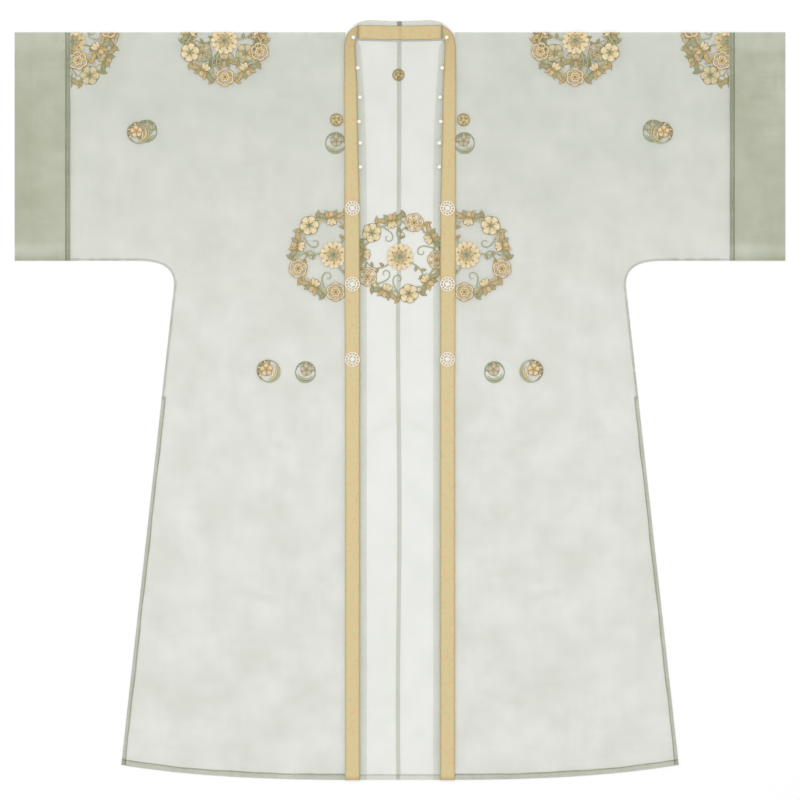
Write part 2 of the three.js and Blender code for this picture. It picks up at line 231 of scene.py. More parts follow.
@dataclass(frozen=True)
class JacquardRibbon(Finish):
    """Silk ribbon, jacquard woven in gold and cream, with a corded selvedge.

    A small lattice of floats repeats along it. The weft shifts from gold to peach in patches.
    """

    ground: str = "#d3bf8c"
    float_colour: str = "#dbcfa5"
    warm: str = "#d3ae7a"
    cool: str = "#c1ba88"
    # The selvedge colour also serves as painted shade, wherever the edge attribute carries it.
    selvedge: str = "#8f7648"
    # The woven lattice repeats every 5 mm. Its floats are drawn 2 mm wide, the finest that
    # shows.
    repeat: float = 5.0
    rib: float = 1.6
    show: float = 0.55

    def dress(self, tree: bpy.types.NodeTree, shader: bpy.types.Node) -> None:
        """Adds the lattice, the shaded weft, the ribs, and the dark selvedge with painted shade.
        """
        strip = add_node(tree, "UVMap", {"uv_map": "cloth"}).outputs["UV"]
        place = add_node(tree, "TexCoord").outputs["Object"]
        patches = add_node(
            tree, "TexNoise", {"Scale": 170.0, "Detail": 3.0, "Roughness": 0.7}, {"Vector": place}
        )
        warm = add_node(
            tree,
            "ValToRGB",
            None,
            {"Fac": patches.outputs["Fac"]},
        )
        ramp = warm.color_ramp
        ramp.elements[0].position, ramp.elements[0].color = 0.34, linear(self.cool)
        ramp.elements[1].position, ramp.elements[1].color = 0.66, linear(self.warm)
        middle = ramp.elements.new(0.5)
        middle.color = linear(self.ground)
        lattice = None
        for turn in (1, -1):
            leaning = add_node(
                tree,
                "Mapping",
                {"Rotation": (0.0, 0.0, turn * math.radians(45))},
                {"Vector": strip},
            )
            wave = add_node(
                tree,
                "TexWave",
                {"Scale": 1000 / self.repeat * 0.45, "Distortion": 2.4, "Detail": 1.0},
                {"Vector": leaning.outputs["Vector"]},
            )
            if lattice is None:
                lattice = wave.outputs["Fac"]
            else:
                both = {0: lattice, 1: wave.outputs["Fac"]}
                lattice = add_node(tree, "Math", {"operation": "MULTIPLY"}, both).outputs[0]
        amount = add_node(tree, "Math", {"operation": "MULTIPLY", 1: self.show}, {0: lattice})
        floats = add_node(
            tree,
            "Mix",
            {"data_type": "RGBA", 7: linear(self.float_colour)},
            {0: amount.outputs[0], 6: warm.outputs["Color"]},
        )
        ribs = add_node(
            tree,
            "TexWave",
            {"bands_direction": "Y", "Scale": 1000 / self.rib / 6.2832 * 2, "Distortion": 0.4},
            {"Vector": strip},
        )
        # The edge attribute holds the corded selvedge and painted shade: darker towards the top,
        # and painted shadow at the neck ribbon's folded ends.
        edge = add_node(tree, "Attribute", {"attribute_name": "edge"})
        colour = add_node(
            tree,
            "Mix",
            {"data_type": "RGBA", 7: linear(self.selvedge)},
            {0: edge.outputs["Fac"], 6: floats.outputs[2]},
        )
        heights = add_node(
            tree,
            "Math",
            {"operation": "MULTIPLY_ADD", 1: 0.6},
            {0: ribs.outputs["Fac"], 2: lattice},
        )
        relief = add_node(
            tree, "Bump", {"Strength": 0.5, "Distance": 0.0004}, {"Height": heights.outputs[0]}
        )
        tree.links.new(colour.outputs[2], shader.inputs["Base Color"])
        tree.links.new(relief.outputs["Normal"], shader.inputs["Normal"])
        shader.inputs["Roughness"].default_value = 0.48
        shader.inputs["Specular IOR Level"].default_value = 0.35


@dataclass(frozen=True)
class SilkFloss(Finish):
    """Silk floss in satin stitch: flat, lustrous threads laid side by side over a pad.

    The threads show as fine ridges across the stitch. Hand dyeing shades them, and a petal is
    darker towards its root.
    """

    colour: str
    shade: str
    # Floss lies 0.4 mm apart and is drawn at 0.9 mm, the finest that shows.
    pitch: float = 0.9

    def dress(self, tree: bpy.types.NodeTree, shader: bpy.types.Node) -> None:
        """Adds the laid threads and the dyed shading."""
        stitch = add_node(tree, "UVMap", {"uv_map": "cloth"}).outputs["UV"]
        place = add_node(tree, "TexCoord").outputs["Object"]
        threads = add_node(
            tree,
            "TexWave",
            {"Scale": 1000 / self.pitch / 6.2832 * 2, "Distortion": 0.8, "Detail": 1.0},
            {"Vector": stitch},
        )
        dye = add_node(tree, "TexNoise", {"Scale": 230.0, "Detail": 2.0}, {"Vector": place})
        laid = add_node(
            tree,
            "Math",
            {"operation": "MULTIPLY_ADD", 1: -0.45},
            {0: threads.outputs["Fac"], 2: dye.outputs["Fac"]},
        )
        root = add_node(tree, "Attribute", {"attribute_name": "edge"})
        amount = add_node(
            tree,
            "Math",
            {"operation": "ADD", "use_clamp": True},
            {0: laid.outputs[0], 1: root.outputs["Fac"]},
        )
        colour = add_node(
            tree,
            "Mix",
            {"data_type": "RGBA", 6: linear(self.colour), 7: linear(self.shade)},
            {0: amount.outputs[0]},
        )
        relief = add_node(
            tree, "Bump", {"Strength": 0.6, "Distance": 0.0004}, {"Height": threads.outputs["Fac"]}
        )
        tree.links.new(colour.outputs[2], shader.inputs["Base Color"])
        tree.links.new(relief.outputs["Normal"], shader.inputs["Normal"])
        shader.inputs["Roughness"].default_value = 0.42
        shader.inputs["Sheen Weight"].default_value = 0.15


@dataclass(frozen=True)
class Nacre(Finish):
    """Cultured pearl: smooth nacre with a deep soft lustre and a faintly uneven body colour."""

    body: str = "#fffef8"
    shade: str = "#f3eee2"

    def dress(self, tree: bpy.types.NodeTree, shader: bpy.types.Node) -> None:
        """Adds the uneven body colour and the lustre."""
        place = add_node(tree, "TexCoord").outputs["Object"]
        growth = add_node(tree, "TexNoise", {"Scale": 420.0, "Detail": 2.0}, {"Vector": place})
        colour = add_node(
            tree,
            "Mix",
            {"data_type": "RGBA", 6: linear(self.body), 7: linear(self.shade)},
            {0: growth.outputs["Fac"]},
        )
        tree.links.new(colour.outputs[2], shader.inputs["Base Color"])
        shader.inputs["Roughness"].default_value = 0.22
        shader.inputs["Coat Weight"].default_value = 0.6
        shader.inputs["Coat Roughness"].default_value = 0.12


@dataclass(frozen=True)
class WhiteEnamel(Finish):
    """Cast alloy filigree under white baked enamel: thick, glossy, thinner on the crests."""

    colour: str = "#ffffff"
    worn: str = "#f1eee3"

    def dress(self, tree: bpy.types.NodeTree, shader: bpy.types.Node) -> None:
        """Adds the pooled enamel and its slight pits."""
        place = add_node(tree, "TexCoord").outputs["Object"]
        pools = add_node(tree, "TexNoise", {"Scale": 900.0, "Detail": 3.0}, {"Vector": place})
        colour = add_node(
            tree,
            "Mix",
            {"data_type": "RGBA", 6: linear(self.colour), 7: linear(self.worn)},
            {0: pools.outputs["Fac"]},
        )
        relief = add_node(
            tree, "Bump", {"Strength": 0.25, "Distance": 0.0002}, {"Height": pools.outputs["Fac"]}
        )
        tree.links.new(colour.outputs[2], shader.inputs["Base Color"])
        tree.links.new(relief.outputs["Normal"], shader.inputs["Normal"])
        shader.inputs["Roughness"].default_value = 0.3


@dataclass(frozen=True)
class SewingThread(Finish):
    """Spun sewing thread: matt, with a slight twist that shows as light and dark."""

    colour: str = "#b7b894"
    shade: str = "#8d8f6c"

    def dress(self, tree: bpy.types.NodeTree, shader: bpy.types.Node) -> None:
        """Adds the twist."""
        place = add_node(tree, "TexCoord").outputs["Object"]
        twist = add_node(tree, "TexNoise", {"Scale": 1500.0, "Detail": 1.0}, {"Vector": place})
        colour = add_node(
            tree,
            "Mix",
            {"data_type": "RGBA", 6: linear(self.colour), 7: linear(self.shade)},
            {0: twist.outputs["Fac"]},
        )
        tree.links.new(colour.outputs[2], shader.inputs["Base Color"])
        shader.inputs["Roughness"].default_value = 0.8


@dataclass(frozen=True)
class OpalAcrylic(Finish):
    """The opal acrylic top of a light table: matt, even white, and softly lit from within.

    The light from within keeps the shadows under a sheer cloth faint.
    """

    colour: str = "#eaeaea"
    glow: str = "#ffffff"
    strength: float = 0.135

    def dress(self, tree: bpy.types.NodeTree, shader: bpy.types.Node) -> None:
        """Sets the sheet's colour and its glow."""
        shader.inputs["Base Color"].default_value = linear(self.colour)
        shader.inputs["Roughness"].default_value = 0.95
        shader.inputs["Specular IOR Level"].default_value = 0.0
        shader.inputs["Emission Color"].default_value = linear(self.glow)
        shader.inputs["Emission Strength"].default_value = self.strength


# Pale sage yarn: nearly neutral in one layer, and green where the cloth lies doubled.
YARN = "#959d78"
PANEL_ORGANZA = SilkOrganza("silk_organza", YARN, 0.0695)
CUFF_ORGANZA = SilkOrganza("silk_organza_doubled", "#929a67", 0.153, cloud=0.3, bars=0.06)
BAND_ORGANZA = SilkOrganza("silk_organza_band", YARN, 0.04, cloud=0.15, bars=0.1)
HEM_ORGANZA = SilkOrganza("silk_organza_turned", "#858e57", 0.054, cloud=0.2, bars=0.25)
SEAM_ORGANZA = SilkOrganza("silk_organza_seam", "#848b62", 0.095, cloud=0.2, bars=0.25)
RIBBON_SILK = JacquardRibbon("jacquard_silk_ribbon")
PEARL_NACRE = Nacre("pearl_nacre")
CLASP_ENAMEL = WhiteEnamel("white_enamel_filigree")
COTTON_THREAD = SewingThread("spun_sewing_thread")
GOLD_COTTON = SewingThread("spun_gold_thread", "#cdb683", "#a8925f")
TABLE_TOP = OpalAcrylic("opal_acrylic")
FLOSS = {
    Thread.CREAM: SilkFloss("silk_floss_cream", "#f6ebca", "#dfc891"),
    Thread.GOLD: SilkFloss("silk_floss_gold", "#e6d09a", "#c8a76c"),
    Thread.PEACH: SilkFloss("silk_floss_peach", "#efd5aa", "#d8b37f"),
    Thread.SAGE: SilkFloss("silk_floss_sage", "#bcc09c", "#9aa176"),
    Thread.OLIVE: SilkFloss("silk_floss_olive", "#ac9866", "#8b7848", pitch=0.7),
}
# The wrong side of the work, seen through the cloth: the same dyes, washed out.
FLOSS_REVERSE = {
    Thread.CREAM: SilkFloss("silk_floss_cream_reverse", "#dcdcc6", "#c4c5a8"),
    Thread.GOLD: SilkFloss("silk_floss_gold_reverse", "#cec7a0", "#b9b28b"),
    Thread.PEACH: SilkFloss("silk_floss_peach_reverse", "#dcc9ad", "#c9b497"),
    Thread.SAGE: SilkFloss("silk_floss_sage_reverse", "#b1ba98", "#9ca683"),
    Thread.OLIVE: SilkFloss("silk_floss_olive_reverse", "#a6a883", "#92946f"),
}


# ---- Mesh work ----------------------------------------------------------------------------


def polar(radius: float, angle: float) -> np.ndarray:
    """Gives the plan point at a radius and an angle."""
    return radius * np.array([math.cos(angle), math.sin(angle)])


def directions(angles: np.ndarray) -> np.ndarray:
    """Gives a unit vector in plan for each angle, one a row."""
    return np.stack([np.cos(angles), np.sin(angles)], axis=1)


def run_along(path: np.ndarray) -> np.ndarray:
    """Gives how far along a path each of its points lies."""
    return np.concatenate([[0], np.cumsum(np.linalg.norm(np.diff(path, axis=0), axis=1))])


def walk(start: np.ndarray, headings: np.ndarray, length: float) -> np.ndarray:
    """Gives the points of a path that takes even steps.

    Args:
        start: where it starts.
        headings: which way it points at each point.
        length: its length.

    Returns:
        Its points, as many as there are headings.
    """
    steps = directions(headings) * length / (len(headings) - 1)
    return start + np.concatenate([[[0, 0]], np.cumsum(steps[:-1], axis=0)])


def leftward(along: np.ndarray) -> np.ndarray:
    """Turns directions in plan a quarter turn."""
    return np.stack([-along[:, 1], along[:, 0]], axis=1)


def broken_line(
    x: np.ndarray, drop: np.ndarray, line: Sequence
) -> tuple[np.ndarray, np.ndarray]:
    """Finds how far points lie from a broken line.

    Args:
        x: distances from the centre.
        drop: drops below the shoulder.
        line: the line's points as (x, drop).

    Returns:
        The distance, and how far along the line the nearest point is, from 0 to 1.
    """
    points = np.asarray(line, float)
    steps = np.linalg.norm(np.diff(points, axis=0), axis=1)
    starts = np.concatenate([[0.0], np.cumsum(steps)])
    best, share = np.full(np.shape(x), np.inf), np.zeros(np.shape(x))
    for (ax, ad), (bx, bd), step, start in zip(points[:-1], points[1:], steps, starts):
        t = np.clip(((x - ax) * (bx - ax) + (drop - ad) * (bd - ad)) / step**2, 0, 1)
        away = np.hypot(x - ax - t * (bx - ax), drop - ad - t * (bd - ad))
        nearer = away < best
        best = np.where(nearer, away, best)
        share = np.where(nearer, (start + t * step) / starts[-1], share)
    return best, share


def smooth(value: np.ndarray | float) -> np.ndarray:
    """Rises smoothly from 0 at 0 to 1 at 1."""
    t = np.clip(value, 0, 1)
    return t * t * (3 - 2 * t)


def bezier(points: Sequence, count: int) -> np.ndarray:
    """Gives points of a cubic curve, ends included.

    Args:
        points: the start, two pulls and the end.
        count: how many points to give.

    Returns:
        The points, one a row.
    """
    t = np.linspace(0, 1, count)[:, None]
    a, b, c, d = (np.asarray(p, float) for p in points)
    return (1 - t) ** 3 * a + 3 * (1 - t) ** 2 * t * b + 3 * (1 - t) * t**2 * c + t**3 * d


@dataclass
class Fabric:
    """A mesh being sewn together from grids and rings, in millimetres."""

    verts: list = field(default_factory=list)
    faces: list = field(default_factory=list)
    uvs: list = field(default_factory=list)
    fold: list = field(default_factory=list)
    edge: list = field(default_factory=list)
    finish: list = field(default_factory=list)

    def grid(
        self,
        points: np.ndarray,
        uv: np.ndarray | None = None,
        fold: np.ndarray | None = None,
        edge: np.ndarray | None = None,
        finish: int = 0,
        ring: bool = False,
        caps: bool = False,
    ) -> None:
        """Adds a grid of quads.

        Args:
            points: rows by columns by three.
            uv: rows by columns by two, in millimetres.
            fold: how much denser the cloth looks, rows by columns.
            edge: how near a selvedge is, plus painted shade on ribbons, from 0 to 1, rows by
                columns.
            finish: the material's place.
            ring: whether the last column joins the first.
            caps: whether the first and last rows are closed.
        """
        rows, columns = points.shape[:2]
        start = len(self.verts)
        self.verts.extend(points.reshape(-1, 3).tolist())
        size = rows * columns
        blank = np.zeros((rows, columns))
        self.uvs.extend((np.zeros((size, 2)) if uv is None else uv.reshape(-1, 2)).tolist())
        self.fold.extend((blank if fold is None else fold).reshape(-1).tolist())
        self.edge.extend((blank if edge is None else edge).reshape(-1).tolist())
        across = columns if ring else columns - 1
        added = []
        for i in range(rows - 1):
            for j in range(across):
                k = (j + 1) % columns
                a, b = start + i * columns, start + (i + 1) * columns
                added.append((a + j, b + j, b + k, a + k))
        if caps:
            added.append(tuple(start + j for j in range(columns)))
            last = start + (rows - 1) * columns
            added.append(tuple(last + j for j in reversed(range(columns))))
        self.faces.extend(added)
        self.finish.extend([finish] * len(added))

    def mesh(self, name: str, weld: float = 0.0) -> bpy.types.Mesh:
        """Makes the mesh in metres.

        Args:
            name: the mesh's name.
            weld: points closer than this many millimetres become one.

        Returns:
            The mesh, with its uv map, its attributes and outward faces.
        """
        made = bpy.data.meshes.new(name)
        made.from_pydata((np.asarray(self.verts) * MM).tolist(), [], self.faces)
        made.polygons.foreach_set("material_index", self.finish)
        made.polygons.foreach_set("use_smooth", [True] * len(self.faces))
        for label, values in (("fold", self.fold), ("edge", self.edge)):
            if any(values):
                made.attributes.new(label, "FLOAT", "POINT").data.foreach_set("value", values)
        if any(u or v for u, v in self.uvs):
            corners = np.zeros(len(made.loops), int)
            made.loops.foreach_get("vertex_index", corners)
            flat = (np.asarray(self.uvs)[corners] * MM).reshape(-1)
            made.uv_layers.new(name="cloth").data.foreach_set("uv", flat)
        work = bmesh.new()
        work.from_mesh(made)
        if weld:
            bmesh.ops.remove_doubles(work, verts=work.verts, dist=weld * MM)
        bmesh.ops.recalc_face_normals(work, faces=work.faces)
        work.to_mesh(made)
        work.free()
        return made


def place(
    name: str,
    mesh: bpy.types.Mesh,
    finishes: Sequence[Finish],
    slot: str,
    stands_for: Sequence[str] = (),
    thickness: float = 0.0,
) -> bpy.types.Object:
    """Puts a mesh into the scene as a piece of the robe.

    Args:
        name: the piece's name.
        mesh: its mesh.
        finishes: its materials, in the order of the mesh's places.
        slot: a material slot name; not used.
        stands_for: the CAD nodes that it replaces.
        thickness: the cloth's thickness in millimetres, where the mesh is a bare sheet.

    Returns:
        The piece.
    """
    piece = bpy.data.objects.new(name, mesh)
    bpy.context.scene.collection.objects.link(piece)
    for finish in finishes:
        mesh.materials.append(finish.material())
    if thickness:
        solid = piece.modifiers.new("thickness", "SOLIDIFY")
        solid.thickness, solid.offset = thickness * MM, 0.0
        solid.use_even_offset = False
        applied = bpy.data.meshes.new_from_object(
            piece.evaluated_get(bpy.context.evaluated_depsgraph_get())
        )
        piece.modifiers.clear()
        piece.data = applied
    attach(piece, "root")
    if stands_for:
        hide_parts(*stands_for)
    return piece


# ---- The cut and how it lies --------------------------------------------------------------


@dataclass(frozen=True)
class Cut:
    """The cut of the robe. What a node's box gives is read from it."""

    shoulder_y: float
    sleeve_end: float
    half_span: float
    sleeve_drop: float
    hem_drop: float
    neck_top: float
    corner: tuple[float, float] = (432.1, 1135.5)
    hem_power: float = 3.0
    underarm: tuple[float, float] = (350.0, 392.0)
    underarm_start: float = 415.0
    underarm_pulls: tuple[float, float] = (378.0, 358.0)
    slit_drop: float = 570.0
    neck_seam: float = 84.6
    neck_cut: float = 13.3
    neck_sag: float = 1.4
    # Above this drop the collar turns towards the back of the neck.
    collar_start: float = 21.0
    neck_corner: float = 66.0
    neck_flat: float = 44.0
    corner_fall: float = 4.2
    # The collar, as drop and distances from the centre to its seam, ribbon and free edge.
    collar: tuple[tuple[float, float, float, float], ...] = (
        (21, 86.3, 69.9, 61.2),
        (89, 86.2, 66.7, 56.6),
        (167, 85.1, 65.6, 52.7),
        (275, 85.2, 62.8, 51.9),
        (570, 84.2, 62.5, 51.9),
        (1149, 84.2, 62.5, 51.9),
    )

    @classmethod
    def from_frame(cls) -> Cut:
        """Reads the cut's main sizes from the boxes of the body, cuff and collar nodes."""
        body_low, body_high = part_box("body_left")
        cuff_low, cuff_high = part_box("cuff_left")
        shoulder = body_high.y / MM
        return cls(
            shoulder_y=shoulder,
            sleeve_end=body_high.x / MM,
            half_span=cuff_high.x / MM,
            sleeve_drop=shoulder - cuff_low.y / MM,
            hem_drop=shoulder - body_low.y / MM,
            neck_top=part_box("band_neck")[1].y / MM - shoulder,
        )

    def points(self, x: np.ndarray, drop: np.ndarray, z: np.ndarray) -> np.ndarray:
        """Stacks x, drop and height into points of the robe's frame."""
        x, drop, z = np.broadcast_arrays(x, drop, z)
        return np.stack([x, self.shoulder_y - drop, z], axis=-1)

    def side(self, drop: np.ndarray) -> np.ndarray:
        """Gives the side edge's distance from the centre, below the underarm."""
        share = (np.asarray(drop) - self.underarm[1]) / (self.corner[1] - self.underarm[1])
        return self.underarm[0] + share * (self.corner[0] - self.underarm[0])

    def hem(self, x: np.ndarray) -> np.ndarray:
        """Gives the hem's drop at a distance from the centre."""
        lift = self.hem_drop - self.corner[1]
        return self.hem_drop - lift * (np.abs(x) / self.corner[0]) ** self.hem_power

    def edge(self, edge: Edge, drop: np.ndarray) -> np.ndarray:
        """Gives one of the collar's edges at a drop."""
        rows = np.asarray(self.collar)
        return np.interp(drop, rows[:, 0], rows[:, edge.value])

    def sag(self, x: np.ndarray) -> np.ndarray:
        """Gives how far the back of the neck hangs below its corners."""
        return self.neck_sag * np.clip(1 - (np.asarray(x) / self.neck_corner) ** 2, 0, 1)

    def underarm_curve(self, count: int) -> np.ndarray:
        """Gives points of the curve from the sleeve into the side, as (x, drop)."""
        along, down = self.underarm_pulls
        start = (self.underarm_start, self.sleeve_drop)
        pulls = ((along, self.sleeve_drop), (self.underarm[0], down))
        return bezier((start, *pulls, self.underarm), count)

    def seam_line(self) -> np.ndarray:
        """Gives the closed seam from the sleeve's end to the top of the slit, as (x, drop)."""
        sleeve = [(self.sleeve_end, self.sleeve_drop)]
        slit = [(float(self.side(self.slit_drop)), self.slit_drop)]
        return np.concatenate([sleeve, self.underarm_curve(14), slit])


@dataclass(frozen=True)
class Crease:
    """A soft ridge or trough on one layer, drawn on the wearer's left and mirrored."""

    layer: Layer
    line: tuple[tuple[float, float], ...]
    width: float
    height: float
    # Along a ridge the cloth is drawn denser, in a trough thinner: partly the denser look of
    # tilted cloth, partly painted shade and light for the crease.
    dense: float = 0.12

    def shape(self, x: np.ndarray, drop: np.ndarray) -> np.ndarray:
        """Gives the crease's own share, from 0 away from it to 1 on it."""
        away, share = broken_line(np.abs(x), drop, self.line)
        return np.exp(-((away / self.width) ** 2)) * np.sin(np.pi * np.clip(share, 0.06, 0.94))


CREASES = (
    Crease(Layer.BACK, ((47, 624), (30, 611), (8, 604)), 6, 1.0, 0.3),
    Crease(Layer.BACK, ((44, 1081), (24, 1088), (8, 1104)), 5, 0.8, 0.25),
    Crease(Layer.BACK, ((20, 860), (24, 905), (18, 960)), 9, 0.6, 0.12),
    Crease(Layer.BACK, ((260, 240), (205, 262), (150, 300)), 9, 0.8, 0.15),
    Crease(Layer.BACK, ((330, 700), (290, 780), (280, 880)), 11, 0.8, 0.15),
    Crease(Layer.BACK, ((150, 960), (210, 990), (290, 985)), 8, 0.7, 0.15),
    Crease(Layer.BACK, ((440, 90), (400, 150), (385, 230)), 10, 0.7, 0.15),
    Crease(Layer.FRONT, ((233, 624), (195, 636), (156, 658)), 5, 1.2, 0.3),
    Crease(Layer.FRONT, ((261, 864), (224, 872), (187, 887)), 5, 1.1, 0.3),
    Crease(Layer.FRONT, ((125, 887), (109, 895)), 4, 0.8, 0.25),
    Crease(Layer.FRONT, ((168, 647), (171, 700), (167, 771)), 7, -0.8, -0.15),
    Crease(Layer.FRONT, ((202, 384), (188, 398), (171, 415)), 6, 1.0, 0.2),
    Crease(Layer.FRONT, ((427, 314), (390, 326), (349, 337)), 14, 0.9, 0.22),
    Crease(Layer.FRONT, ((330, 1010), (352, 1060), (350, 1110)), 9, 0.9, 0.15),
    Crease(Layer.FRONT, ((455, 60), (462, 140), (450, 215)), 9, 0.9, 0.14),
    Crease(Layer.FRONT, ((120, 1010), (160, 1035), (215, 1040)), 7, 0.8, 0.15),
    Crease(Layer.FRONT, ((300, 470), (322, 540), (331, 610)), 10, 0.8, 0.14),
)


@dataclass(frozen=True)
class Drape:
    """How the two layers lie: their heights, gentle swells, creases and closed seams."""

    cut: Cut
    creases: tuple[Crease, ...] = CREASES
    levels: tuple[float, float] = (0.55, 2.85)
    seam_level: float = 1.6
    roundness: float = 13.0
    opening: float = 30.0
    top_density: float = 0.42
    low_thinness: float = 0.06
    # The back lies flat on the table; it is drawn denser, and the front over it thinner.
    layer_density: tuple[float, float] = (0.27, -0.3)

    def level(self, layer: Layer) -> float:
        """Gives a layer's resting height."""
        return self.levels[0] if layer is Layer.BACK else self.levels[1]

    def swell(self, layer: Layer, x: np.ndarray, drop: np.ndarray) -> np.ndarray:
        """Gives the long gentle swells of a layer."""
        turn, size = (0.0, 0.16) if layer is Layer.BACK else (2.1, 0.34)
        waves = (
            np.sin(x / 57 + drop / 121 + turn)
            + 0.7 * np.sin(x / 83 - drop / 47 + 1.7 + turn)
            + 0.5 * np.sin(x / 31 + drop / 71 + 0.6 - turn)
        )
        return size * waves / 2.2

    def free(self, layer: Layer, x: np.ndarray, drop: np.ndarray) -> np.ndarray:
        """Gives a layer's height away from its closed seams."""
        height = self.swell(layer, x, drop)
        for crease in self.creases:
            if crease.layer is layer:
                height = height + crease.height * crease.shape(x, drop)
        if layer is Layer.FRONT:
            height = height * smooth((np.abs(x) - self.cut.edge(Edge.SEAM, drop) - 2) / 45)
        else:
            height = np.maximum(height, -0.3)
        return self.level(layer) + height

    def height(self, layer: Layer, x: np.ndarray, drop: np.ndarray) -> np.ndarray:
        """Gives a layer's height, rounded down to the seam where the layers join.

        Args:
            layer: which layer.
            x: distances from the centre back.
            drop: drops below the shoulder.

        Returns:
            Heights above the surface that the robe lies on.
        """
        x, drop = np.broadcast_arrays(np.asarray(x, float), np.asarray(drop, float))
        away, _ = broken_line(np.abs(x), drop, self.cut.seam_line())
        near = np.sqrt(1 - (1 - np.clip(away / self.roundness, 0, 1)) ** 2)
        parted = smooth((drop - self.cut.slit_drop) / self.opening)
        share = np.maximum(near, parted)
        return self.seam_level + (self.free(layer, x, drop) - self.seam_level) * share

    def fold(self, layer: Layer, x: np.ndarray, drop: np.ndarray) -> np.ndarray:
        """Gives added cover: on creases, partly painted shade, and higher up the robe."""
        x, drop = np.broadcast_arrays(np.asarray(x, float), np.asarray(drop, float))
        dense = self.top_density * (1 - smooth(drop / 620))
        dense = dense - self.low_thinness * smooth(drop / 300)
        dense = dense + self.layer_density[0 if layer is Layer.BACK else 1]
        for crease in self.creases:
            if crease.layer is layer:
                dense = dense + crease.dense * crease.shape(x, drop)
        return dense


# ---- Panels -------------------------------------------------------------------------------


